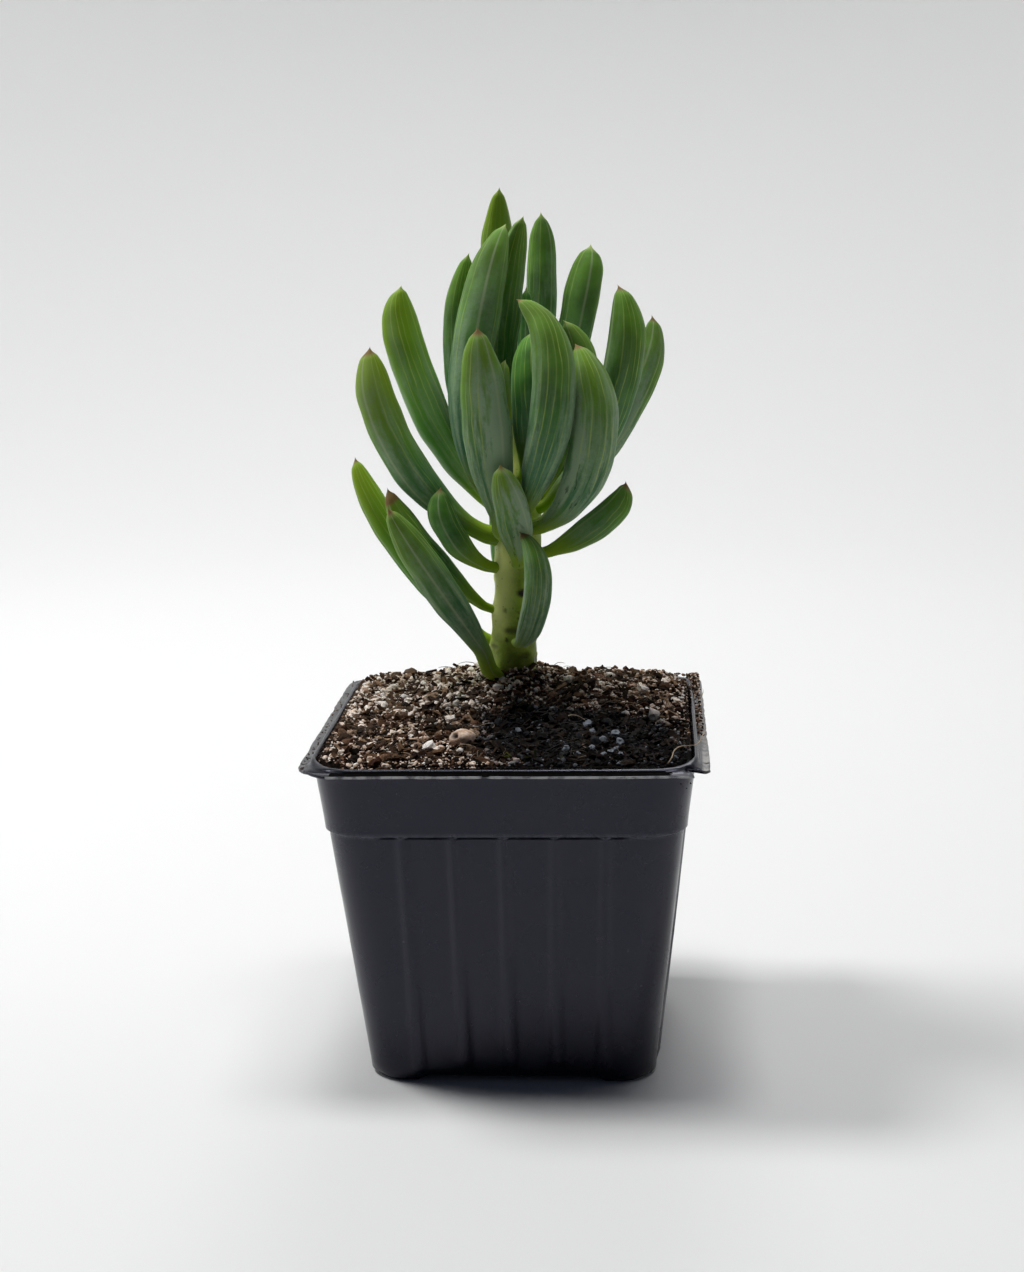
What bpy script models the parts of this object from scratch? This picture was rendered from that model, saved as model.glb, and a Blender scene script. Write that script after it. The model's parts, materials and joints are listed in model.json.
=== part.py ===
"""Blue chalk sticks in a square thermoformed nursery pot: pot, potting mix, stem and leaves.

Metres, +Z up. The origin is the middle of the pot's foot, on the surface it stands on.
The pot's sides face X and Y, and its front is towards -Y.
"""

import math
from collections import namedtuple

import bmesh
import bpy
from mathutils import Vector

MM = 0.001
CLEARANCE = 0.3 * MM

# Pot: a thin square tub with a stepped band, a flat flange and pressed vertical ribs.
POT_HEIGHT = 76.2 * MM
FLANGE_HALF = 44.5 * MM
FLANGE_THICKNESS = 0.8 * MM
BAND_HEIGHT = 17.0 * MM
BAND_HALF_TOP = 41.7 * MM
BAND_HALF_BOTTOM = 39.7 * MM
BODY_HALF_TOP = 38.7 * MM
BODY_HALF_FOOT = 32.5 * MM
WALL = 1.0 * MM
LEDGE = 0.7 * MM
CORNER_RECESS = 3.0 * MM
CORNER_FOOT = 8.0 * MM
CORNER_BAND = 9.5 * MM
CORNER_FLANGE = 5.5 * MM
CORNER_STEPS = 4
RIB_COUNT = 5
RIB_PITCH = 11.1 * MM
RIB_DEPTH = 1.0 * MM
RIB_WIDTH_TOP = 2.6 * MM
RIB_WIDTH_FOOT = 4.4 * MM
RIB_START = 3.5 * MM
RIB_FULL = 6.5 * MM
FOOT_ROUND = 1.0 * MM
RECESS_SLOPE = 1.0 * MM
FLOOR_LIFT = 2.2 * MM
STANDING_RING = 5.0 * MM
DRAIN_RADIUS = 6.0 * MM
NOTCH_WIDTH = 5.5 * MM
NOTCH_HEIGHT = 2.0 * MM
CUTTER_SIDES = 20

# Potting mix: level with the rim at the front, heaped round the stem.
SOIL_FRONT = 75.4 * MM
SOIL_BACK = 77.0 * MM
HEAP_HEIGHT = 7.2 * MM
HEAP_SPREAD = 16.0 * MM
HEAP_CENTRE = (5.0 * MM, 21.0 * MM)
HOLLOW_DEPTH = 1.6 * MM
HOLLOW_SPREAD = 4.5 * MM
HOLLOW_CENTRE = (-8.0 * MM, 9.0 * MM)
RIPPLE_HEIGHT = 0.25 * MM
RIPPLE_LENGTH = (5.3 * MM, 4.1 * MM)
SOIL_FOOT_SLACK = 0.2 * MM
SOIL_RINGS = 7
SOIL_SIDE_POINTS = 7
SOCKET_LEVELS = (76.0 * MM, 72.0 * MM, 62.0 * MM, 55.0 * MM, 53.5 * MM)

# Stem: stands a little behind the middle and leans slightly to +X.
STEM_X = -1.0 * MM
STEM_Y = 17.0 * MM
STEM_LEAN = 0.055
STEM_LEVEL = 83.5 * MM
STEM_FOOT = 55.0 * MM
STEM_TIP = 144.5 * MM
STEM_POINT = 1.0 * MM
STEM_SIDES = 20
STEM_RADII = (
    (55.0 * MM, 2.6 * MM),
    (62.0 * MM, 4.2 * MM),
    (72.0 * MM, 5.2 * MM),
    (83.5 * MM, 5.4 * MM),
    (100.0 * MM, 5.2 * MM),
    (115.0 * MM, 5.0 * MM),
    (130.0 * MM, 4.2 * MM),
    (143.0 * MM, 3.1 * MM),
)
STEM_RING_STEP = 4.0 * MM

# Leaves: spindle-shaped and fleshy, narrow at the stem, widest past the middle.
LEAF_SIDES = 10
LEAF_STATIONS = (0.0, 0.08, 0.19, 0.32, 0.46, 0.6, 0.73, 0.84, 0.92, 0.975)
LEAF_PATH_STEPS = 40
LEAF_BASE_RATIO = 0.38
LEAF_FULL_AT = 0.5
LEAF_INNER_RATIO = 0.86
LEAF_TIP_POWER = 0.75

# One leaf, in millimetres and degrees. height and azimuth give its place on the stem, with
# 0 degrees towards +X and 90 towards +Y. rise_start and rise_end are its slope at the stem
# and at its tip, bend is how early it turns up, and sway swings it sideways along its length.
# shoulder is where the tip starts to narrow, and hook leans the point towards the stem.
Leaf = namedtuple(
    "Leaf", "height azimuth length rise_start rise_end sway bend width thickness shoulder hook"
)
LEAVES = (
    Leaf(84.5, 233, 53.5, 48, 54, -13, 3.5, 8.8, 8.2, 0.58, 0.05),
    Leaf(90.0, 170, 56.0, 35, 60, -5, 1.9, 7.7, 7.2, 0.66, 0.25),
    Leaf(91.5, 280, 40.5, 2, 131, 44, 1.0, 6.9, 5.6, 0.53, 0.35),
    Leaf(97.0, 102, 34.0, 38, 83, 0, 2.1, 7.4, 6.4, 0.62, 0.35),
    Leaf(98.0, 193, 39.5, 36, 55, 1, 2.6, 7.2, 6.5, 0.63, 0.25),
    Leaf(108.5, 207, 26.5, 23, 78, 6, 1.2, 7.6, 6.9, 0.63, 0.30),
    Leaf(109.5, 278, 32.5, 31, 60, -36, 5.0, 8.2, 5.8, 0.60, 0.05),
    Leaf(111.5, 351, 28.5, 22, 53, -4, 0.8, 7.6, 7.4, 0.66, 0.35),
    Leaf(115.5, 186, 56.5, 24, 79, 1, 1.5, 10.0, 9.9, 0.69, 0.15),
    Leaf(116.5, 251, 53.5, 42, 78, 5, 4.1, 11.3, 9.4, 0.52, 0.05),
    Leaf(117.5, 28, 59.0, 41, 73, -3, 0.8, 9.0, 8.3, 0.69, 0.35),
    Leaf(118.5, 317, 54.0, 15, 109, 3, 1.3, 11.6, 10.7, 0.52, 0.30),
    Leaf(118.5, 84, 40.0, 38, 70, 0, 2.0, 8.8, 7.8, 0.62, 0.35),
    Leaf(121.5, 155, 61.0, 37, 75, -7, 1.6, 10.2, 9.9, 0.76, 0.35),
    Leaf(122.0, 344, 59.5, 40, 93, -9, 1.0, 9.9, 9.4, 0.66, 0.30),
    Leaf(122.5, 284, 60.5, 27, 125, 45, 0.9, 10.4, 9.6, 0.59, 0.40),
    Leaf(124.0, 217, 69.0, 32, 105, 2, 3.9, 10.8, 9.9, 0.62, 0.25),
    Leaf(124.0, 19, 46.0, 39, 100, -1, 1.7, 9.0, 8.4, 0.66, 0.35),
    Leaf(124.5, 125, 48.0, 37, 78, 0, 2.0, 9.0, 8.0, 0.62, 0.35),
    Leaf(129.5, 150, 56.0, 36, 94, -3, 2.7, 9.0, 7.9, 0.52, 0.30),
    Leaf(129.5, 52, 58.0, 48, 72, -6, 4.5, 9.2, 8.5, 0.79, 0.05),
    Leaf(130.5, 289, 37.5, 36, 96, -25, 1.8, 9.2, 7.8, 0.62, 0.35),
    Leaf(133.5, 79, 62.5, 39, 81, 1, 2.4, 7.7, 6.8, 0.70, 0.30),
    Leaf(136.0, 107, 65.5, 35, 93, 2, 2.4, 8.8, 7.8, 0.57, 0.35),
    Leaf(139.0, 122, 54.0, 44, 106, 10, 3.7, 8.4, 7.0, 0.56, 0.30),
    Leaf(141.0, 89, 35.5, 40, 79, -9, 2.4, 5.9, 5.1, 0.58, 0.35),
    Leaf(142.5, 9, 21.0, 38, 90, 0, 2.3, 4.4, 4.0, 0.62, 0.35),
    Leaf(142.5, 232, 16.5, 39, 96, 0, 2.4, 4.4, 4.0, 0.62, 0.35),
)


def clear_scene():
    for obj in list(bpy.data.objects):
        bpy.data.objects.remove(obj, do_unlink=True)


def make_material(name, colour, roughness):
    material = bpy.data.materials.new(name)
    material.use_nodes = True
    shader = material.node_tree.nodes["Principled BSDF"]
    shader.inputs["Base Color"].default_value = (*colour, 1.0)
    shader.inputs["Roughness"].default_value = roughness
    material.diffuse_color = (*colour, 1.0)
    return material


def black_plastic():
    return make_material("black_plastic", (0.028, 0.028, 0.032), 0.42)


def potting_mix():
    return make_material("potting_mix", (0.055, 0.038, 0.028), 0.95)


def stem_skin():
    return make_material("stem_skin", (0.20, 0.26, 0.07), 0.55)


def leaf_skin():
    return make_material("leaf_skin", (0.13, 0.23, 0.17), 0.50)


def mix(start, end, t):
    return start + (end - start) * t


def smooth_step(t):
    t = min(max(t, 0.0), 1.0)
    return t * t * (3.0 - 2.0 * t)


def loft(name, rings, material, first_cap=None, last_cap=None):
    """Skin closed rings of equal length; a cap is one point at its middle, or one flat face."""
    mesh = bpy.data.meshes.new(name)
    obj = bpy.data.objects.new(name, mesh)
    bpy.context.collection.objects.link(obj)
    mesh.materials.append(material)
    shape = bmesh.new()
    made = [[shape.verts.new(point) for point in ring] for ring in rings]
    for lower, upper in zip(made, made[1:]):
        for i in range(len(lower)):
            j = (i + 1) % len(lower)
            shape.faces.new((lower[i], lower[j], upper[j], upper[i]))
    for ring, cap in ((made[0][::-1], first_cap), (made[-1], last_cap)):
        if cap is None:
            shape.faces.new(ring)
            continue
        middle = shape.verts.new(cap)
        for i in range(len(ring)):
            shape.faces.new((ring[i], ring[(i + 1) % len(ring)], middle))
    shape.to_mesh(mesh)
    shape.free()
    return obj


def shade(obj, angle):
    obj.data.shade_smooth()
    obj.data.set_sharp_from_angle(angle=math.radians(angle))


# ---------------------------------------------------------------- pot


def rib_profile(width, depth):
    """(distance along the side, stand-off) of each rib's two feet and two shoulders."""
    points = []
    for k in range(RIB_COUNT):
        centre = (k - (RIB_COUNT - 1) / 2.0) * RIB_PITCH
        points.append((centre - width / 2.0, 0.0))
        points.append((centre - width / 4.0, depth))
        points.append((centre + width / 4.0, depth))
        points.append((centre + width / 2.0, 0.0))
    return points


def square_ring(half, corner, z, side_points):
    """A rounded square, anticlockwise from the front side, with stand-offs along its sides."""
    ring = []
    for side in range(4):
        turn = math.radians(90.0 * side)
        for along, out in side_points:
            ring.append((along, -half - out, turn))
        for k in range(CORNER_STEPS + 1):
            angle = math.radians(90.0 * k / CORNER_STEPS)
            x = half - corner + corner * math.sin(angle)
            y = -half + corner - corner * math.cos(angle)
            ring.append((x, y, turn))
    return [
        Vector((x * math.cos(t) - y * math.sin(t), x * math.sin(t) + y * math.cos(t), z))
        for x, y, t in ring
    ]


def body_half(z):
    return mix(BODY_HALF_FOOT, BODY_HALF_TOP, z / (POT_HEIGHT - BAND_HEIGHT))


def body_corner(z):
    return mix(CORNER_FOOT, CORNER_BAND, z / POT_HEIGHT)


def rib_width(z):
    return mix(RIB_WIDTH_FOOT, RIB_WIDTH_TOP, z / (POT_HEIGHT - BAND_HEIGHT))


def pot_rings():
    """The tub's section from the drain side of its floor, out, up, over the flange and down."""
    ledge = POT_HEIGHT - BAND_HEIGHT
    rim = POT_HEIGHT - FLANGE_THICKNESS
    inner_floor = FLOOR_LIFT + WALL
    ring_inside = BODY_HALF_FOOT - STANDING_RING
    section = (
        (ring_inside - RECESS_SLOPE, FLOOR_LIFT, CORNER_RECESS - RECESS_SLOPE, 0.0),
        (ring_inside, 0.0, CORNER_RECESS, 0.0),
        (BODY_HALF_FOOT - FOOT_ROUND, 0.0, CORNER_FOOT - FOOT_ROUND, 0.0),
        (BODY_HALF_FOOT, FOOT_ROUND, CORNER_FOOT, 0.0),
        (body_half(RIB_START), RIB_START, body_corner(RIB_START), 0.0),
        (body_half(RIB_FULL), RIB_FULL, body_corner(RIB_FULL), RIB_DEPTH),
        (body_half(ledge - LEDGE), ledge - LEDGE, body_corner(ledge), RIB_DEPTH),
        (BAND_HALF_BOTTOM, ledge, CORNER_BAND, 0.0),
        (BAND_HALF_TOP, rim, CORNER_BAND, 0.0),
        (FLANGE_HALF, rim, CORNER_FLANGE, 0.0),
        (FLANGE_HALF, POT_HEIGHT, CORNER_FLANGE, 0.0),
        (BAND_HALF_TOP - WALL, POT_HEIGHT, CORNER_BAND - WALL, 0.0),
        (BAND_HALF_BOTTOM - WALL, ledge + LEDGE, CORNER_BAND - WALL, 0.0),
        (body_half(ledge) - WALL, ledge, body_corner(ledge) - WALL, RIB_DEPTH),
        (body_half(RIB_FULL) - WALL, RIB_FULL, body_corner(RIB_FULL) - WALL, RIB_DEPTH),
        (body_half(RIB_START) - WALL, RIB_START + WALL, CORNER_FOOT - WALL, 0.0),
        (BODY_HALF_FOOT - 2.0 * WALL, inner_floor, CORNER_FOOT - 2.0 * WALL, 0.0),
    )
    return [
        square_ring(half, corner, z, rib_profile(rib_width(z), depth))
        for half, z, corner, depth in section
    ]


def cutter(name, radius, length, location, rotation):
    bpy.ops.mesh.primitive_cylinder_add(
        vertices=CUTTER_SIDES, radius=radius, depth=length, location=location, rotation=rotation
    )
    obj = bpy.context.object
    obj.name = name
    obj.hide_render = True
    obj.display_type = "WIRE"
    return obj


def cut(obj, tool):
    modifier = obj.modifiers.new(tool.name, "BOOLEAN")
    modifier.operation = "DIFFERENCE"
    modifier.solver = "EXACT"
    modifier.object = tool


def make_pot():
    pot = loft("pot", pot_rings(), black_plastic())
    shade(pot, 30.0)
    through_floor = 4.0 * (FLOOR_LIFT + WALL)
    cut(pot, cutter("drain_cutter", DRAIN_RADIUS, through_floor, (0.0, 0.0, 0.0), (0.0, 0.0, 0.0)))
    # Two bars laid corner to corner make the four arched drain notches in the foot.
    notch_radius = NOTCH_WIDTH / 2.0
    for k in range(2):
        turn = math.radians(45.0 + 90.0 * k)
        bar = cutter(
            f"notch_cutter_{k + 1}",
            notch_radius,
            4.0 * BODY_HALF_FOOT,
            (0.0, 0.0, NOTCH_HEIGHT - notch_radius),
            (math.radians(90.0), 0.0, turn),
        )
        cut(pot, bar)
    return pot


# ---------------------------------------------------------------- stem


def stem_axis(z):
    return Vector((STEM_X + STEM_LEAN * (z - STEM_LEVEL), STEM_Y, z))


def stem_radius(z):
    for (low, r_low), (high, r_high) in zip(STEM_RADII, STEM_RADII[1:]):
        if z <= high:
            return mix(r_low, r_high, max(z - low, 0.0) / (high - low))
    return STEM_RADII[-1][1]


def level_heading(angle):
    return Vector((math.cos(angle), math.sin(angle), 0.0))


def stem_ring(z):
    centre = stem_axis(z)
    radius = stem_radius(z)
    turn = math.tau / STEM_SIDES
    return [centre + radius * level_heading(turn * k) for k in range(STEM_SIDES)]


def make_stem():
    """The stem and the crown of its root, which stands in a socket in the potting mix."""
    top = STEM_RADII[-1][0]
    count = round((top - STEM_FOOT) / STEM_RING_STEP)
    rings = [stem_ring(mix(STEM_FOOT, top, k / count)) for k in range(count + 1)]
    foot = stem_axis(STEM_FOOT - STEM_POINT)
    stem = loft("stem", rings, stem_skin(), foot, stem_axis(STEM_TIP))
    shade(stem, 60.0)
    return stem


# ---------------------------------------------------------------- potting mix


def soil_height(x, y):
    """Slopes up to the back, heaped round the stem, with a hollow at the lowest leaf's foot."""
    level = mix(SOIL_FRONT, SOIL_BACK, (y + BAND_HALF_TOP) / (2.0 * BAND_HALF_TOP))
    reach = (x - HEAP_CENTRE[0]) ** 2 + (y - HEAP_CENTRE[1]) ** 2
    heap = HEAP_HEIGHT * math.exp(-reach / (2.0 * HEAP_SPREAD**2))
    hollow_reach = (x - HOLLOW_CENTRE[0]) ** 2 + (y - HOLLOW_CENTRE[1]) ** 2
    hollow = HOLLOW_DEPTH * math.exp(-hollow_reach / (2.0 * HOLLOW_SPREAD**2))
    ripple = RIPPLE_HEIGHT * math.sin(x / RIPPLE_LENGTH[0]) * math.cos(y / RIPPLE_LENGTH[1])
    return level + heap - hollow + ripple


def soil_ring(half, corner, z):
    reach = half - corner
    steps = SOIL_SIDE_POINTS - 1
    side = [(mix(-reach, reach, k / steps), 0.0) for k in range(SOIL_SIDE_POINTS)]
    # The corner arc brings its own end points, so the straight run keeps only its inner ones.
    return square_ring(half, corner, z, side[1:-1])


def socket_point(point, z):
    """Carries a point in to the socket wall at height z, on its own side of the stem."""
    heading = math.atan2(point.y - STEM_Y, point.x - STEM_X)
    return stem_axis(z) + (stem_radius(z) + CLEARANCE) * level_heading(heading)


def make_soil():
    """Fills the tub to a clearance from its walls and floor, and holds the stem in a socket."""
    ledge = POT_HEIGHT - BAND_HEIGHT
    floor = FLOOR_LIFT + WALL + CLEARANCE
    inset = WALL + CLEARANCE
    floor_half = BODY_HALF_FOOT - 2.0 * WALL - CLEARANCE
    foot_half = body_half(RIB_START) - inset - SOIL_FOOT_SLACK
    low_half = body_half(RIB_FULL) - inset
    high_half = body_half(ledge) - inset
    rim_half = BAND_HALF_TOP - inset - CLEARANCE
    rings = [
        soil_ring(floor_half, CORNER_FOOT - 2.0 * WALL, floor),
        soil_ring(foot_half, CORNER_FOOT - WALL, RIB_START + inset),
        soil_ring(low_half, body_corner(RIB_FULL) - WALL, RIB_FULL),
        soil_ring(high_half, body_corner(ledge) - WALL, ledge),
        soil_ring(BAND_HALF_BOTTOM - inset, CORNER_BAND - WALL, ledge + LEDGE + CLEARANCE),
    ]
    edge = soil_ring(rim_half, CORNER_BAND - WALL, SOIL_FRONT)
    for point in edge:
        point.z = soil_height(point.x, point.y)
    rings.append(edge)
    socket = [socket_point(point, STEM_LEVEL) for point in edge]
    for k in range(1, SOIL_RINGS + 1):
        share = k / SOIL_RINGS
        ring = []
        for outer, inner in zip(edge, socket):
            point = outer.lerp(inner, share)
            point.z = soil_height(point.x, point.y)
            ring.append(point)
        rings.append(ring)
    mouth = rings[-1]
    for z in SOCKET_LEVELS:
        rings.append([socket_point(point, z) for point in mouth])
    soil = loft("soil", rings, potting_mix(), None, stem_axis(SOCKET_LEVELS[-1]))
    shade(soil, 40.0)
    return soil


# ---------------------------------------------------------------- leaves


def leaf_heading(leaf, t):
    """The growth direction, sideways axis and outward face direction at t along the leaf."""
    rise = math.radians(mix(leaf.rise_start, leaf.rise_end, 1.0 - (1.0 - t) ** leaf.bend))
    turn = math.radians(leaf.azimuth + leaf.sway * t)
    along = Vector(
        (math.cos(rise) * math.cos(turn), math.cos(rise) * math.sin(turn), math.sin(rise))
    )
    side = Vector((-math.sin(turn), math.cos(turn), 0.0))
    return along, side, side.cross(along)


def leaf_path(leaf):
    azimuth = math.radians(leaf.azimuth)
    height = leaf.height * MM
    stand_off = stem_radius(height) + CLEARANCE
    path = [stem_axis(height) + stand_off * level_heading(azimuth)]
    step = leaf.length * MM / LEAF_PATH_STEPS
    for k in range(LEAF_PATH_STEPS):
        along, _, _ = leaf_heading(leaf, (k + 0.5) / LEAF_PATH_STEPS)
        path.append(path[-1] + step * along)
    return path


def on_path(path, t):
    place = t * LEAF_PATH_STEPS
    k = min(int(place), LEAF_PATH_STEPS - 1)
    return path[k].lerp(path[k + 1], place - k)


def leaf_fullness(leaf, t):
    """The share of full width at t, and how far the tip's own narrowing has gone."""
    swell = mix(LEAF_BASE_RATIO, 1.0, smooth_step(t / LEAF_FULL_AT))
    past = max(t - leaf.shoulder, 0.0) / (1.0 - leaf.shoulder)
    taper = (1.0 - past**3) ** LEAF_TIP_POWER
    return swell * taper, 1.0 - taper


def seat_on_stem(point):
    """Moves a point of a leaf's foot level with itself onto the stem's face."""
    centre = stem_axis(point.z)
    heading = math.atan2(point.y - centre.y, point.x - centre.x)
    radius = stem_radius(point.z) + CLEARANCE
    return centre + radius * level_heading(heading)


def leaf_ring(leaf, path, t):
    _, side, out = leaf_heading(leaf, t)
    fullness, narrowed = leaf_fullness(leaf, t)
    centre = on_path(path, t) - out * (leaf.hook * leaf.thickness * MM * narrowed)
    ring = []
    for k in range(LEAF_SIDES):
        angle = math.tau * k / LEAF_SIDES
        across = side * (fullness * leaf.width * MM / 2.0 * math.cos(angle))
        depth = -fullness * leaf.thickness * MM / 2.0 * math.sin(angle)
        if depth < 0.0:
            depth *= LEAF_INNER_RATIO
        ring.append(centre + across + out * depth)
    return ring


def make_leaf(name, leaf, material):
    path = leaf_path(leaf)
    rings = [leaf_ring(leaf, path, t) for t in LEAF_STATIONS]
    rings[0] = [seat_on_stem(point) for point in rings[0]]
    _, _, out = leaf_heading(leaf, 1.0)
    point = path[-1] - out * (leaf.hook * leaf.thickness * MM)
    obj = loft(name, rings, material, path[0], point)
    shade(obj, 60.0)
    return obj


def main():
    clear_scene()
    plant = bpy.data.objects.new("potted_plant", None)
    bpy.context.collection.objects.link(plant)
    pieces = [make_pot(), make_soil(), make_stem()]
    skin = leaf_skin()
    for number, leaf in enumerate(LEAVES, 1):
        pieces.append(make_leaf(f"leaf_{number:02d}", leaf, skin))
    for piece in pieces:
        piece.parent = plant


main()
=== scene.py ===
import json
import math
import random

import bmesh
import bpy
import numpy as np
from mathutils import Matrix, Vector, noise
from mathutils.bvhtree import BVHTree

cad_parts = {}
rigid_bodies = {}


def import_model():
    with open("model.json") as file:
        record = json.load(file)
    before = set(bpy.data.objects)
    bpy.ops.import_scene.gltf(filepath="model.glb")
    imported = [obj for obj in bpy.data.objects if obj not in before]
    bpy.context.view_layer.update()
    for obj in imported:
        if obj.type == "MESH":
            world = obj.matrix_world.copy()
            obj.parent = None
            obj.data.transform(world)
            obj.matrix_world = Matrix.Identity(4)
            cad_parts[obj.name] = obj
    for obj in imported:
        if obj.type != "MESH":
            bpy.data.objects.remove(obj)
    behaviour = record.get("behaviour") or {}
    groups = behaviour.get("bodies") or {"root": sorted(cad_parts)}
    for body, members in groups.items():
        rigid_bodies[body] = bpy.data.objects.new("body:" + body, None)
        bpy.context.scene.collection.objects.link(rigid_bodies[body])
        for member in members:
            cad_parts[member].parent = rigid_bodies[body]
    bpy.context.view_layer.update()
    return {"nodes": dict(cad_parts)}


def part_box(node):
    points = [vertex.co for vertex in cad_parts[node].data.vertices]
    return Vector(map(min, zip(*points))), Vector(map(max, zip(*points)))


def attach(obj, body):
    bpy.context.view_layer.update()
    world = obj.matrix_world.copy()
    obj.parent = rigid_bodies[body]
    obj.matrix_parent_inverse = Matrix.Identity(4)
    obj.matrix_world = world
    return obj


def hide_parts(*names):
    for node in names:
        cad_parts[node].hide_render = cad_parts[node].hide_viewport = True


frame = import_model()
mm = 0.001
print("frame loaded:", len(frame["nodes"]), "nodes")


def setMode(mode):
    bpy.ops.object.mode_set(mode=mode)


def clearSelection():
    if bpy.context.object and bpy.context.object.mode != "OBJECT":
        setMode("OBJECT")
    bpy.ops.object.select_all(action="DESELECT")


def pickOnly(*objs):
    clearSelection()
    for obj in objs:
        obj.select_set(True)
    bpy.context.view_layer.objects.active = objs[0]


def editAll(obj, kind=None):
    pickOnly(obj)
    setMode("EDIT")
    if kind:
        bpy.ops.mesh.select_mode(type=kind)
    bpy.ops.mesh.select_all(action="SELECT")


def editFaces(obj, isWanted):
    # only the faces wanted, by their middle in mm and their normal
    editAll(obj, "FACE")
    bpy.ops.mesh.select_all(action="DESELECT")
    shape = bmesh.from_edit_mesh(obj.data)
    for face in shape.faces:
        face.select = isWanted(face.calc_center_median() / mm, face.normal)
    shape.select_flush_mode()
    bmesh.update_edit_mesh(obj.data)


def turnOutward():
    bpy.ops.mesh.select_all(action="SELECT")
    bpy.ops.mesh.normals_make_consistent(inside=False)
    setMode("OBJECT")


def drawOut(move, scale, extrude=bpy.ops.mesh.extrude_region_move):
    # extrude what is selected, then scale it
    extrude(TRANSFORM_OT_translate={"value": move})
    bpy.ops.transform.resize(value=scale)


def newPiece(name, add, **settings):
    clearSelection()
    add(**settings)
    bpy.context.object.name = name
    return bpy.context.object


def newBall(name, segments, rings):
    return newPiece(name, bpy.ops.mesh.primitive_uv_sphere_add, segments=segments, ring_count=rings, radius=1)


def joinAs(name, pieces):
    pickOnly(*pieces)
    bpy.ops.object.join()
    bpy.context.object.name = name
    return bpy.context.object


def applyModifier(obj, kind, **settings):
    modifier = obj.modifiers.new(kind.title(), kind)
    for name, value in settings.items():
        setattr(modifier, name, value)
    pickOnly(obj)
    bpy.ops.object.modifier_apply(modifier=modifier.name)


def readPoints(obj):
    flat = np.empty(len(obj.data.vertices) * 3)
    obj.data.vertices.foreach_get("co", flat)
    return flat.reshape(-1, 3)


def writePoints(obj, points):
    obj.data.vertices.foreach_set("co", np.asarray(points, float).ravel())
    obj.data.update()


def writeValue(obj, name, values):
    layer = obj.data.attributes.new(name, "FLOAT", "POINT")
    layer.data.foreach_set("value", np.broadcast_to(values, len(layer.data)).astype(np.float32))


def takeValue(obj, name):
    layer = obj.data.attributes[name]
    flat = np.empty(len(layer.data), np.float32)
    layer.data.foreach_get("value", flat)
    obj.data.attributes.remove(layer)
    return flat.astype(float)


def copyOf(obj):
    twin = obj.copy()
    twin.data = obj.data.copy()
    bpy.context.scene.collection.objects.link(twin)
    return twin


def unit(vectors):
    return vectors / np.linalg.norm(vectors, axis=-1, keepdims=True)


def smoothStep(low, high, value):
    t = np.clip((value - low) / (high - low), 0, 1)
    return t * t * (3 - 2 * t)


def mix(low, high, t):
    return low + (high - low) * t


def paint(hexColour):
    # a screen colour turned linear
    channels = [int(hexColour[k:k + 2], 16) / 255 for k in (1, 3, 5)]
    return (*[c / 12.92 if c <= 0.04045 else ((c + 0.055) / 1.055) ** 2.4 for c in channels], 1)


class Skin:
    # one material, its colour built up coat by coat
    def __init__(self, name):
        self.material = bpy.data.materials.new(name)
        self.material.use_nodes = True
        self.tree = self.material.node_tree
        self.place = self.add("TexCoord").outputs["Object"]

    def fill(self, node, values):
        for key, value in values.items():
            if isinstance(value, bpy.types.NodeSocket):
                self.tree.links.new(value, node.inputs[key])
            else:
                node.inputs[key].default_value = value

    def add(self, kind, values=None, **settings):
        node = self.tree.nodes.new("ShaderNode" + kind)
        for name, value in settings.items():
            setattr(node, name, value)
        self.fill(node, values or {})
        return node

    def read(self, name):
        return self.add("Attribute", attribute_name=name).outputs["Fac"]

    def cloud(self, scale, detail=2, roughness=0.5, spot=None, distortion=0):
        values = {"Vector": self.place if spot is None else spot, "Scale": scale, "Detail": detail}
        return self.add("TexNoise", {**values, "Roughness": roughness, "Distortion": distortion}).outputs[0]

    def spot(self, x, y, z):
        return self.add("CombineXYZ", {"X": x, "Y": y, "Z": z}).outputs[0]

    def step(self, value, low, high, start=0, end=1):
        values = {"Value": value, "From Min": low, "From Max": high, "To Min": start, "To Max": end}
        return self.add("MapRange", values, interpolation_type="SMOOTHSTEP").outputs[0]

    def calc(self, operation, first, second=0.5):
        return self.add("Math", {0: first, 1: second}, operation=operation).outputs[0]

    def plus(self, first, second):
        return self.calc("ADD", first, second)

    def times(self, first, *rest):
        for value in rest:
            first = self.calc("MULTIPLY", first, value)
        return first

    def away(self, value, centre=0):
        # how far a value is from the centre, either way
        return self.calc("ABSOLUTE", self.calc("SUBTRACT", value, centre) if centre else value)

    def ramp(self, value, *stops):
        node = self.add("ValToRGB", {"Fac": value})
        ramp = node.color_ramp.elements
        for k, (place, colour) in enumerate(stops):
            element = ramp[k] if k < len(ramp) else ramp.new(place)
            element.position = place
            element.color = paint(colour)
        self.colour = node.outputs[0]

    def coat(self, share, over):
        values = {"Fac": share, "Color1": self.colour, "Color2": paint(over)}
        self.colour = self.add("MixRGB", values).outputs[0]

    def finish(self, roughness, bump=None, **constants):
        # bump: its height, strength and depth in metres; every other constant sits straight on the shader
        shader = self.tree.nodes["Principled BSDF"]
        if bump:
            height, strength, depth = bump
            relief = self.add("Bump", {"Strength": strength, "Distance": depth, "Height": height})
            self.fill(shader, {"Normal": relief.outputs[0]})
        named = {name.replace("_", " "): value for name, value in constants.items()}
        self.fill(shader, {"Base Color": self.colour, "Roughness": roughness, **named})
        return self.material


def finishPiece(obj, material, node="soil", smooth=True):
    pickOnly(obj)
    bpy.ops.object.transform_apply(location=True, rotation=True, scale=True)
    obj.data.materials.clear()
    obj.data.materials.append(material)
    if smooth:
        bpy.ops.object.shade_smooth()
    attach(obj, "root")
    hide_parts(node)
    clearSelection()


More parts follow.
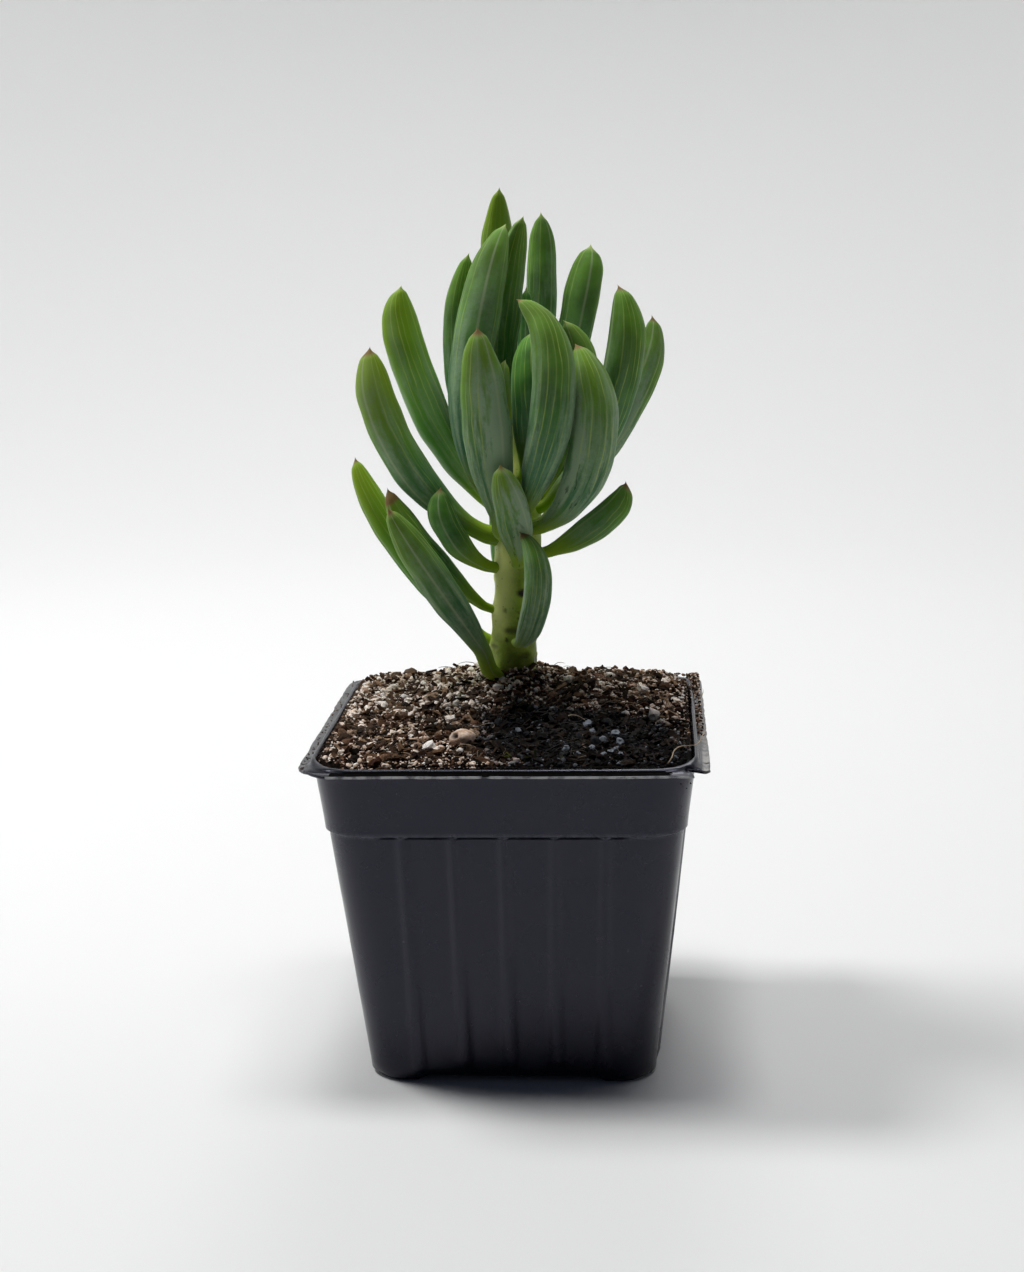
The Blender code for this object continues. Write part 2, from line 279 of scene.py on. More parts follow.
# millimetres and degrees
cameraView = {
    "place": (32.5, -451.9, 194.2), "pitch": 12.29, "yaw": -4.11, "roll": -1.29, "lens": 56.97, "sensor": 36,
}


def makeCamera():
    s = cameraView
    camera = newPiece("camera", bpy.ops.object.camera_add)
    camera.data.sensor_width = s["sensor"]
    camera.data.lens = s["lens"]
    camera.data.clip_start = 0.01
    camera.data.clip_end = 20
    place = Matrix.Translation(Vector(s["place"]) * mm)
    for angle, axis in ((-s["yaw"], "Z"), (90 - s["pitch"], "X"), (s["roll"], "Z")):
        place = place @ Matrix.Rotation(math.radians(angle), 4, axis)
    camera.matrix_world = place
    bpy.context.scene.camera = camera


# metres
studio = {
    "floorRadius": 0.62, "sweepRadius": 0.55, "wallHeight": 1.9, "profileSteps": 14, "turns": 96,
    "drop": -0.05 * mm, "paper": "#ebebea", "worldColour": "#b4c6f4", "worldStrength": 0.04, "aim": 40 * mm,
    # round soft lamps: degrees behind straight left, degrees up, metres away, metres wide, watts
    "lamps": {
        "overhead": (0, 87, 1.35, 0.3, 4.5), "overRight": (180, 80, 1.3, 0.32, 2.7),
        "upperLeft": (15, 60, 1.2, 0.3, 6.4), "behind": (90, 45, 1.1, 0.4, 2),
        "left": (10, 28, 1.12, 0.28, 1),
    },
}


def paperMaterial():
    # matt white card: flat and even, a little warm
    skin = Skin("matt white card")
    skin.colour = paint(studio["paper"])
    return skin.finish(0.95, Specular_IOR_Level=0.1)


def makeBackdrop():
    s = studio
    disc = {"vertices": s["turns"], "radius": s["floorRadius"], "location": (0, 0, s["drop"])}
    sweep = newPiece("paper_sweep", bpy.ops.mesh.primitive_circle_add, fill_type="NGON", **disc)
    editAll(sweep, "EDGE")
    edges = bpy.ops.mesh.extrude_edges_move
    radius = s["floorRadius"]
    height = 0
    for k in range(1, s["profileSteps"] + 1):
        angle = math.radians(90) * k / s["profileSteps"]
        newRadius = s["floorRadius"] + s["sweepRadius"] * math.sin(angle)
        newHeight = s["sweepRadius"] * (1 - math.cos(angle))
        drawOut((0, 0, newHeight - height), (newRadius / radius, newRadius / radius, 1), edges)
        radius, height = newRadius, newHeight
    edges(TRANSFORM_OT_translate={"value": (0, 0, s["wallHeight"] - height)})
    setMode("OBJECT")
    bpy.ops.object.shade_smooth()
    sweep.data.materials.append(paperMaterial())
    # the half nearest the viewer is a piece of its own, and throws no light back on the plant
    editFaces(sweep, lambda middle, normal: middle.z > 1 and middle.y < 50)
    bpy.ops.mesh.separate(type="SELECTED")
    setMode("OBJECT")
    front = [obj for obj in bpy.context.selected_objects if obj is not sweep][0]
    front.name = "paper_front"
    for ray in ("diffuse", "glossy", "shadow"):
        setattr(front, "visible_" + ray, False)
    clearSelection()


def makeLights():
    for name, (behind, up, away, width, watts) in studio["lamps"].items():
        behind, up = math.radians(behind), math.radians(up)
        flat = math.cos(up)
        place = Vector((-math.cos(behind) * flat, math.sin(behind) * flat, math.sin(up))) * away
        lamp = newPiece(name, bpy.ops.object.light_add, type="AREA", location=place)
        lamp.data.shape = "DISK"
        lamp.data.size = width
        lamp.data.energy = watts
        lamp.visible_camera = False
        lamp.rotation_euler = (Vector((0, 0, studio["aim"])) - place).to_track_quat("-Z", "Y").to_euler()
    world = bpy.data.worlds.new("studio")
    bpy.context.scene.world = world
    world.use_nodes = True
    background = world.node_tree.nodes["Background"]
    background.inputs["Color"].default_value = paint(studio["worldColour"])
    background.inputs["Strength"].default_value = studio["worldStrength"]
    bpy.context.scene.view_settings.view_transform = "Standard"


makeCamera()
makeBackdrop()
makeLights()
print("studio ready")


potLow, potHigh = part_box("pot")
# millimetres
potShape = {
    "flange": potHigh.x / mm, "top": potHigh.z / mm,
    "ledge": 60, "bodyFoot": 32.5, "bodyTop": 39.1, "bandFoot": 39.9, "bandTop": 41.5, "bandLow": 60.5,
    "bandTall": 13.2, "bodyRows": 24, "bandRows": 6, "straightCuts": 71, "cornerSteps": 14,
    "tornCorner": 32.4, "flangeStart": 42, "ribPitchFoot": 10.3, "ribPitchTop": 11.05, "ribCount": 5,
    "ribTop": 2.7, "ribFoot": 4.5, "ribReach": 24.4,
    "notchLift": 0.5, "sideLift": 1.2, "wobble": 0.16, "drainRadius": 6, "shadeSkin": 0.1,
}
# the sheet's levels from the middle of the floor outward: half-width, corner radius, height
footLevels = [(26, 6, 2.2), (27.2, 6.4, 0.4), (27.9, 6.6, 0), (31.3, 7.5, 0), (32.1, 7.8, 0.35), (32.5, 8, 1)]
stepLevels = [
    (39.12, 9.2, 59.4), (39.16, 9.2, 59.62), (39.2, 9.3, 59.8), (39.72, 9.4, 59.84), (39.9, 9.4, 60),
    (39.9, 9.4, 60.3),
]
# flange, gutter and bead: half-width and height
rimLevels = [
    (41.6, 74.15), (41.9, 74.35), (43.4, 74.4), (44.1, 74.42), (44.45, 74.5), (44.5, 74.75), (44.45, 74.98),
    (44.2, 75.05), (43.7, 74.86), (42.7, 75.12), (42.4, 75.28), (42.25, 75.7), (42.15, 76.05),
    (41.95, 76.2), (41.6, 76.2), (41.35, 76.05),
]
insideLevels = [
    (41, 9.3, 75), (40.7, 9, 73), (38.8, 8.6, 60.3), (37.6, 8.4, 58.9), (36, 8, 42), (33.8, 7.6, 21),
    (31.6, 7, 4.4), (30.4, 6.2, 3.2),
]


def potLevels():
    s = potShape
    levels = list(footLevels)
    for k in range(1, s["bodyRows"] + 1):
        t = k / s["bodyRows"]
        levels.append((mix(s["bodyFoot"], s["bodyTop"], t), 8 + 1.2 * t, 1 + (s["ledge"] - 2) * t))
    levels += stepLevels
    for k in range(1, s["bandRows"] + 1):
        t = k / s["bandRows"]
        levels.append((mix(s["bandFoot"], s["bandTop"], t), 9.5, s["bandLow"] + s["bandTall"] * t))
    rimFirst = len(levels)
    levels += [(half, 9.5, z) for half, z in rimLevels]
    return levels + insideLevels, rimFirst, len(levels)


def ribHeight(along, z, half):
    s = potShape
    t = z / s["ledge"]
    width = mix(s["ribFoot"], s["ribTop"], t)
    pitch = mix(s["ribPitchFoot"], s["ribPitchTop"], t)
    reach = np.zeros_like(along)
    for k in range(s["ribCount"]):
        centre = (k - (s["ribCount"] - 1) / 2) * pitch
        reach = np.maximum(reach, smoothStep(0.5, 0.16, np.abs(along - centre) / width))
    if z <= s["ledge"] - 2:
        return reach * np.interp(z, [0.8, 2.6, 20, 58], [0.4, 0.75, 0.85, 0.75])
    # each rib runs out flush with the band, and a slot is pressed in under the band between two ribs
    slot = 0.5 * (59.5 < z < 59.7) * smoothStep(0.45, 0.2, reach) * smoothStep(26.5, 25.5, np.abs(along))
    return reach * max(39.86 - half, 0) - slot


def potPoint(side, along, turn, straight, half, corner, z, isOutside, isRim):
    s = potShape
    reach = half - corner
    x = np.empty_like(along)
    y = np.empty_like(along)
    if reach > s["ribReach"]:
        knots = [-reach, -s["ribReach"], s["ribReach"], reach]
        x[straight] = np.interp(along[straight], [-1, -0.89, 0.89, 1], knots)
    else:
        x[straight] = along[straight] * reach
    y[straight] = -half
    if isOutside and 1 < z < 59.82:
        y[straight] -= ribHeight(x[straight], z, half)
    bend = ~straight
    x[bend] = reach + corner * np.sin(turn[bend])
    y[bend] = -reach - corner * np.cos(turn[bend])
    if isRim and half > s["flangeStart"]:
        degrees = np.degrees(turn)
        spread = (half - s["flangeStart"]) / (s["flange"] - s["flangeStart"])
        soft = 5.5
        flangeX = half - soft + soft * np.sin(turn)
        flangeY = soft - half - soft * np.cos(turn)
        # front left corner: pulled out to a sharp torn point
        torn = bend & (side == 3)
        flangeX[torn] = np.minimum(half, s["tornCorner"] + 13 * np.sin(turn[torn]))
        flangeY[torn] = -np.minimum(half, s["tornCorner"] + 13 * np.cos(turn[torn]))
        # front right corner: the flange is missing between its two ends
        gone = bend & (side == 0)
        nearFront = gone & (degrees < 41)
        flangeX[nearFront] = x[nearFront]
        flangeY[nearFront] = -half
        nearRight = gone & (degrees > 47)
        flangeX[nearRight] = half - 1.4 * smoothStep(56, 47, degrees[nearRight]) * spread
        flangeY[nearRight] = np.interp(degrees[nearRight], [47, 90], [-41.4, -s["tornCorner"]])
        hole = gone & ~nearFront & ~nearRight
        flangeX[hole] = x[hole] * s["flangeStart"] / half
        flangeY[hole] = y[hole] * s["flangeStart"] / half
        share = np.clip(spread * 3, 0, 1)
        x[bend] = mix(x[bend], flangeX[bend], share)
        y[bend] = mix(y[bend], flangeY[bend], share)
    return x, y


def drawPot(levels):
    # one rounded square, its whole face drawn down to the foot, out and up, over the rim and down inside
    s = potShape
    oldHalf, startCorner, oldZ = levels[0]
    square = {"size": 2 * oldHalf * mm, "location": (0, 0, oldZ * mm)}
    pot = newPiece("nursery_pot", bpy.ops.mesh.primitive_plane_add, **square)
    bpy.ops.object.transform_apply(location=True)
    editAll(pot)
    bpy.ops.mesh.bevel(offset=startCorner * mm, segments=s["cornerSteps"], affect="VERTICES")
    bpy.ops.mesh.select_mode(type="EDGE")
    shape = bmesh.from_edit_mesh(pot.data)
    for edge in shape.edges:
        edge.select = edge.calc_length() > 10 * mm
    bmesh.update_edit_mesh(pot.data)
    bpy.ops.mesh.subdivide(number_cuts=s["straightCuts"])
    setMode("OBJECT")
    start = readPoints(pot) / mm
    writeValue(pot, "startX", start[:, 0])
    writeValue(pot, "startY", start[:, 1])
    writeValue(pot, "level", 0)
    editAll(pot, "FACE")
    for number, (half, corner, z) in enumerate(levels[1:], 1):
        drawOut((0, 0, (z - oldZ) * mm), (half / oldHalf, half / oldHalf, 1))
        shape = bmesh.from_edit_mesh(pot.data)
        layer = shape.verts.layers.float["level"]
        for vert in shape.verts:
            if vert.select:
                vert[layer] = number
        oldHalf, oldZ = half, z
    turnOutward()
    return pot


def spun(x, y, quarters):
    # turned about the upright axis
    angle = np.radians(90 * quarters)
    return x * np.cos(angle) - y * np.sin(angle), x * np.sin(angle) + y * np.cos(angle)


def makePot():
    s = potShape
    levels, rimFirst, rimEnd = potLevels()
    pot = drawPot(levels)
    startX, startY, level = [takeValue(pot, name) for name in ("startX", "startY", "level")]
    # each point's place round the ring: its side, how far along it, or its turn round the corner
    edge = levels[0][0] - levels[0][1]
    side = np.zeros(len(level), int)
    localX, localY = np.empty((2, len(level)))
    for k in range(4):
        turnedX, turnedY = spun(startX, startY, -k)
        own = (turnedY < -edge + 1e-4) & (turnedX > -edge - 1e-4)
        side[own] = k
        localX[own] = turnedX[own]
        localY[own] = turnedY[own]
    straight = localX <= edge + 1e-4
    along = np.clip(localX / edge, -1, 1)
    turn = np.arctan2(np.maximum(localX - edge, 0), np.maximum(-localY - edge, 1e-9))
    turn = np.where(straight, 0, turn)
    points = np.zeros((len(level), 3))
    for number, (half, corner, z) in enumerate(levels):
        own = np.abs(level - number) < 0.5
        isRim = rimFirst <= number < rimEnd
        place = (side[own], along[own], turn[own], straight[own])
        x, y = potPoint(*place, half, corner, z, number < rimFirst, isRim)
        points[own] = np.stack(np.broadcast_arrays(*spun(x, y, side[own]), z), axis=1)
        if z < 1.2:
            # four corner feet, the sides between them a little off the ground
            lift = s["notchLift"] * np.exp(-((np.degrees(turn[own]) - 45) / 15) ** 2)
            sideLift = s["sideLift"] * smoothStep(21.5, 18.5, np.abs(x))
            points[own, 2] += np.where(straight[own], sideLift, lift) * (1 - 0.3 * z)
    writePoints(pot, bendSheet(points, (level >= rimFirst) & (level < rimEnd)) * mm)
    drill = {"vertices": 40, "radius": s["drainRadius"] * mm, "depth": 12 * mm, "location": (0, 0, 2 * mm)}
    drain = newPiece("drain", bpy.ops.mesh.primitive_cylinder_add, **drill)
    applyModifier(pot, "BOOLEAN", operation="DIFFERENCE", solver="EXACT", object=drain)
    bpy.data.objects.remove(drain)
    finishPiece(pot, potPlastic(), "pot")
    return pot


def bendSheet(points, onRim):
    # the sheet is a little wavy, and its flange ragged
    s = potShape
    moved = points.copy()
    for k, (x, y, z) in enumerate(points):
        place = Vector((x, y, z))
        wide = noise.noise(place * 0.045) * s["wobble"]
        fine = noise.noise(place * 0.16 + Vector((9, 3, 5))) * s["wobble"] * 0.25
        out = Vector((x, y, 0)).normalized()
        reach = max(abs(x), abs(y))
        inside = min(max((43.5 - reach) / 2, 0), 1)
        if z > 2.5:
            moved[k, 0] += out.x * (wide + fine - 0.1) * inside
            moved[k, 1] += out.y * (wide + fine - 0.1) * inside
        if onRim[k]:
            ragged = noise.noise(Vector((x * 0.35, y * 0.35, 4)))
            dip = 0.18 + 0.16 * noise.noise(Vector((x * 0.06, y * 0.06, 1)))
            moved[k, 2] -= max(dip, 0) * smoothStep(41, 42.5, reach)
            if reach > 43.2:
                # the trimmed edge is a little uneven
                moved[k, 0] -= 0.22 * (ragged + 0.4) * (x / reach) * (abs(x) > 43.2)
                moved[k, 1] -= 0.22 * (ragged + 0.4) * (y / reach) * (abs(y) > 43.2)
            moved[k, 2] += 0.3 * smoothStep(36, 44, -x) * smoothStep(38, 44, -y)
            # the bead is lower along the front
            moved[k, 2] -= 0.5 * max(z - 75.12, 0) * smoothStep(34, 40, -y)
            rightFront = smoothStep(41.8, 44.5, x) * smoothStep(30, 44, -y)
            moved[k, 2] -= 0.3 * rightFront + 0.6 * ragged * rightFront
    moved[:, :2] = np.clip(moved[:, :2], -s["flange"], s["flange"])
    moved[:, 2] = np.clip(moved[:, 2], 0, s["top"])
    return moved


def makeGutterShade(pot):
    # painted shade in the gutter between the front bead and the trimmed edge, where the bead shades it: a
    # near-black skin over the pot's own sheet
    shadeSkin = bpy.data.objects.new("gutter_shade_skin", pot.data.copy())
    bpy.context.scene.collection.objects.link(shadeSkin)
    # every face but those of the gutter goes
    low, high = Vector((-36, -44.15, 74.5)), Vector((36, -42.2, 75.42))
    def outside(middle, normal):
        return normal.z <= -0.05 or not all(a < c < b for a, c, b in zip(low, middle, high))

    editFaces(shadeSkin, outside)
    bpy.ops.mesh.delete(type="FACE")
    setMode("OBJECT")
    applyModifier(shadeSkin, "SOLIDIFY", thickness=potShape["shadeSkin"] * mm, offset=1)
    finishPiece(shadeSkin, gutterShadePaint())


def gutterShadePaint():
    # painted shade for the gutter: nearly black and dull, with a fine peat-like grain
    skin = Skin("painted gutter shade")
    grain = skin.cloud(1600, 4, 0.7)
    skin.ramp(grain, (0.4, "#030303"), (0.62, "#080706"), (0.72, "#2a211b"))
    return skin.finish(0.95, (grain, 0.7, 0.0002), Specular_IOR_Level=0.04)


def potPlastic():
    # black polystyrene sheet, thermoformed: glossy but faintly rippled down its length, dusty on the flange,
    # with painted highlights on the flange and its front edge
    skin = Skin("thermoformed black polystyrene")
    cloud = skin.cloud(60, 4, 0.6)
    skin.ramp(cloud, (0.3, "#050609"), (0.7, "#090b14"))
    skin.coat(skin.step(skin.cloud(900, 2, 0.7), 0.7, 0.77, 0, 0.35), "#5c564e")
    # pale dust and scratches on the flat flange, with painted light on them: paler on the right, where the
    # flange catches the light
    x, y, z = skin.add("SeparateXYZ", {"Vector": skin.place}).outputs
    flange = skin.times(skin.step(skin.away(x), 0.0425, 0.0432), skin.step(z, 0.0736, 0.0744))
    smear = skin.cloud(420, 5, 0.75)
    flangeDustAndLight = skin.times(flange, skin.step(smear, 0.4, 0.56, 0.25, 1), skin.step(x, -0.02, 0.02, 0.35, 1))
    skin.coat(flangeDustAndLight, "#9b9994")
    # painted highlights: a faint pale line along the step under the band, and a brighter one along the
    # trimmed front edge, where they catch the light
    step = skin.step(skin.away(z, 0.0599), 0.0011, 0.0002)
    skin.coat(skin.times(step, skin.step(smear, 0.35, 0.6, 0.35, 0.9)), "#3c3e43")
    trimHighlight = skin.step(skin.times(y, -1), 0.04422, 0.04438)
    skin.coat(skin.times(trimHighlight, skin.step(smear, 0.36, 0.56, 0.35, 1)), "#a9a9a7")
    # a small hole torn in the right flange, drawn as a dark spot of painted shade
    hole = skin.add("VectorMath", {0: skin.place, 1: (0.0435, -0.0112, 0.0751)}, operation="DISTANCE")
    skin.coat(skin.step(hole.outputs["Value"], 0.00075, 0.00055), "#060505")
    # stretched down the sheet
    values = {"Vector": skin.place, "Scale": (1, 1, 0.06)}
    streak = skin.cloud(900, spot=skin.add("Mapping", values, vector_type="POINT").outputs[0])
    gloss = skin.plus(skin.step(cloud, 0.3, 0.7, 0.2, 0.32), skin.times(flangeDustAndLight, 0.5))
    # a faint slate cast in the shine
    return skin.finish(gloss, (streak, 0.25, 0.0001), IOR=1.49, Specular_Tint=paint("#e4e4ff"))


makeGutterShade(makePot())
print("pot made")


# one blank is drawn over the spine and widths of each fitted leaf; millimetres
leafShape = {
    "segments": 44, "rings": 92, "footSink": 1.3, "footFlare": 1.12, "tipPinch": 2.6,
    "facets": 5, "facetDepth": 0.05, "dent": 0.34, "dentSize": 7,
    # feet that clasp the stem lower and wider: across, back, up, then the width
    "lowFoot": {
        "leaf_01": ((-1.1, -0.9, -1.6), 1.4), "leaf_09": ((0, 0, 0.3), 1.35), "leaf_10": ((-1, 0, 0), 1.3),
    },
    # tips that hook aside: across, back, up, then the reach
    "hookTip": {"leaf_16": ((-1.3, 0, 0.5), 7)},
}
# how each leaf has aged, from leaf_01 on: waxy bloom, lime at tip and foot, brown point in mm, rubbed scuffs,
# then painted light shining through the thin leaf (sunlit)
leafTones = [
    (0.42, 0.45, 1.4, 0.35, 0.05), (0.1, 0.9, 1.4, 0.2, 1), (0.85, 0.3, 2.6, 0.3, 0.05),
    (0.35, 0.4, 1, 0.2, 0.2), (0.28, 0.55, 3.6, 0.2, 0.25), (0.25, 0.15, 1.2, 0.25, 0),
    (1.2, 0.6, 1, 0.8, 0.15), (0.3, 0.3, 1.6, 0.35, 0.15), (0.5, 1, 1.9, 0.3, 0.3), (1, 0.6, 1.7, 0.45, 0),
    (1, 0.45, 1.7, 0.3, 0.1), (0.85, 0.55, 1.9, 0.95, 0.05), (0.5, 0.4, 0.8, 0.2, 0.3),
    (0.45, 0.8, -0.6, 0.15, 1), (0.4, 0.35, 1.5, 0.25, 0.1), (0.42, 0.45, 1.5, 0.8, 0),
    (0.4, 0.35, -0.6, 0.35, 0), (0.5, 0.5, -0.6, 0.2, 0.3), (0.5, 0.45, 0.6, 0.2, 0.3),
    (0.35, 0.35, -0.6, 0.2, 0.2), (0.2, 0.3, -0.6, 0.25, 0.05), (0.25, 0.1, 0.1, 0.25, 0),
    (0.6, 0.3, 0.1, 0.2, 0.05), (0.4, 0.85, -0.6, 0.15, 1), (0.55, 0.45, -0.6, 0.15, 0.35),
    (0.35, 0, 0.1, 0.15, 0), (0.4, 0.6, 0.3, 0.05, 0.6), (0.4, 0.6, 0.3, 0.05, 0.6),
]


def throughPoints(knots, values, where):
    # a smooth curve through values at the knots
    slopes = np.gradient(values, knots, axis=0)
    k = np.clip(np.searchsorted(knots, where, side="right") - 1, 0, len(knots) - 2)
    step = (knots[k + 1] - knots[k])
    t = ((where - knots[k]) / step)
    if values.ndim > 1:
        t, step = t[:, None], step[:, None]
    a, b = values[k], values[k + 1]
    return ((2 * t**3 - 3 * t**2 + 1) * a + (t**3 - 2 * t**2 + t) * step * slopes[k]
            + (3 * t**2 - 2 * t**3) * b + (t**3 - t**2) * step * slopes[k + 1])


def leafSkeleton(node):
    # rings of ten points from the foot to the tip, each put in order round the leaf
    shape = bmesh.new()
    shape.from_mesh(frame["nodes"][node].data)
    bmesh.ops.remove_doubles(shape, verts=shape.verts, dist=1e-6)
    poles = [v for v in shape.verts if len(v.link_edges) == 10]
    tip = max(poles, key=lambda v: v.co.z)
    layers, seen = [[tip]], {tip}
    while True:
        ahead = {e.other_vert(v) for v in layers[-1] for e in v.link_edges} - seen
        if not ahead:
            break
        seen |= ahead
        layers.append(list(ahead))
    rings = [np.array([v.co for v in layer]) / mm for layer in layers if len(layer) == 10][::-1]
    tipPoint = np.array(tip.co) / mm
    shape.free()
    centres = [ring.mean(axis=0) for ring in rings]
    upward = centres[4] - centres[2]
    side = unit(np.cross((0, 0, 1), upward))
    outer = np.cross(side, unit(upward))
    offsets = rings[3] - centres[3]
    order = np.argsort(np.arctan2(offsets @ outer, offsets @ side) % (2 * math.pi - 1e-3))
    rings[3] = rings[3][order]
    for start, stop, step in ((3, 0, -1), (3, len(rings) - 1, 1)):
        for k in range(start, stop, step):
            near, far = [unit(rings[n] - centres[n]) for n in (k, k + step)]
            rings[k + step] = rings[k + step][np.argmax(near @ far.T, axis=1)]
    middle = np.array([(ring[0] + ring[5]) / 2 for ring in rings] + [tipPoint])
    across = np.array([(ring[0] - ring[5]) / 2 for ring in rings])
    lift = math.sin(math.radians(72))
    rows = np.array(rings)
    outside, inside = [((rows[:, n] + rows[:, n + 1]) / 2 - middle[:-1]) / lift for n in (2, 7)]
    return middle, across, outside, inside


def widthCurve(knots, vectors, where):
    # the widths close to nothing at the tip in a round end
    heading = unit(vectors)
    heading = unit(throughPoints(knots, np.vstack([heading, heading[-1]]), where))
    eased = np.append(np.linalg.norm(vectors, axis=1) ** (4 / 3), 0)
    return heading * (np.clip(throughPoints(knots, eased, where), 0, None) ** 0.75)[:, None]


def stemCentre(z):
    return np.array([np.interp(z, stemLine[:, 2], stemLine[:, k]) for k in (0, 1)] + [z])


def makeLeaf(blank, node, material, seed):
    s = leafShape
    middle, across, outside, inside = leafSkeleton(node)
    lengths = np.linalg.norm(np.diff(middle, axis=0), axis=1)
    total = lengths.sum()
    knots = np.append(0, np.cumsum(lengths)) / total
    leaf = copyOf(blank)
    leaf.name = node.replace("leaf_", "chalk_leaf_")
    ball = readPoints(leaf)
    along = np.clip((1 - ball[:, 2]) / 2, 0, 1)
    angle = np.arctan2(ball[:, 1], ball[:, 0])
    spine = throughPoints(knots, middle, along)
    wide, deepOut, deepIn = [widthCurve(knots, vectors, along) for vectors in (across, outside, inside)]
    cosA, sinA = np.cos(angle), np.sin(angle)
    depth = np.where(sinA[:, None] > 0, deepOut * sinA[:, None], deepIn * -sinA[:, None])
    fromFoot, fromTip = along * total, (1 - along) * total
    pinch = 0.3 + 0.7 * smoothStep(0, s["tipPinch"], fromTip)
    flare = 1 + (s["footFlare"] - 1) * smoothStep(5, 0, fromFoot)
    if node in s["lowFoot"]:
        shift, width = s["lowFoot"][node]
        near = smoothStep(9, 0, fromFoot)
        spine = spine + np.array(shift) * near[:, None]
        flare *= 1 + (width - 1) * near
    if node in s["hookTip"]:
        shift, reach = s["hookTip"][node]
        spine = spine + np.array(shift) * smoothStep(reach, 0, fromTip)[:, None]
    cap = np.sqrt(np.clip(along / 0.006, 0, 1))
    ridge = 1 - s["facetDepth"] / 4 * np.cos(s["facets"] * angle + 0.8 * seed) * smoothStep(0.05, 0.3, along)
    points = spine + (wide * cosA[:, None] + depth) * (pinch * flare * cap * ridge)[:, None]
    # the foot runs on into the stem
    inward = stemCentre(middle[0][2]) - middle[0]
    inward[2] = 0
    inward = unit(inward)
    points += inward * (smoothStep(3, 0, fromFoot) * s["footSink"])[:, None]
    girth = np.linalg.norm(wide, axis=1)
    for k in range(len(points)):
        place = Vector(points[k]) / s["dentSize"] + Vector((seed * 3.1, 0, 0))
        soft = noise.noise(place) * s["dent"] * min(girth[k] / 3, 1)
        out = Vector(points[k] - spine[k])
        if out.length > 1e-4:
            points[k] += np.array(out.normalized()) * (soft - 0.05)
    writePoints(leaf, points * mm)
    values = {"along": along, "across": cosA, "outer": sinA, "fromTip": fromTip, "fromFoot": fromFoot}
    values["seed"] = seed * 0.37
    values.update(zip(("bloom", "lime", "brown", "scuff", "sunlit"), leafTones[seed]))
    for name, value in values.items():
        writeValue(leaf, name, value)
    editAll(leaf)
    turnOutward()
    finishPiece(leaf, material, node)
    # the foot's height and its direction from the stem
    return middle[0][2], math.atan2(-inward[1], -inward[0])


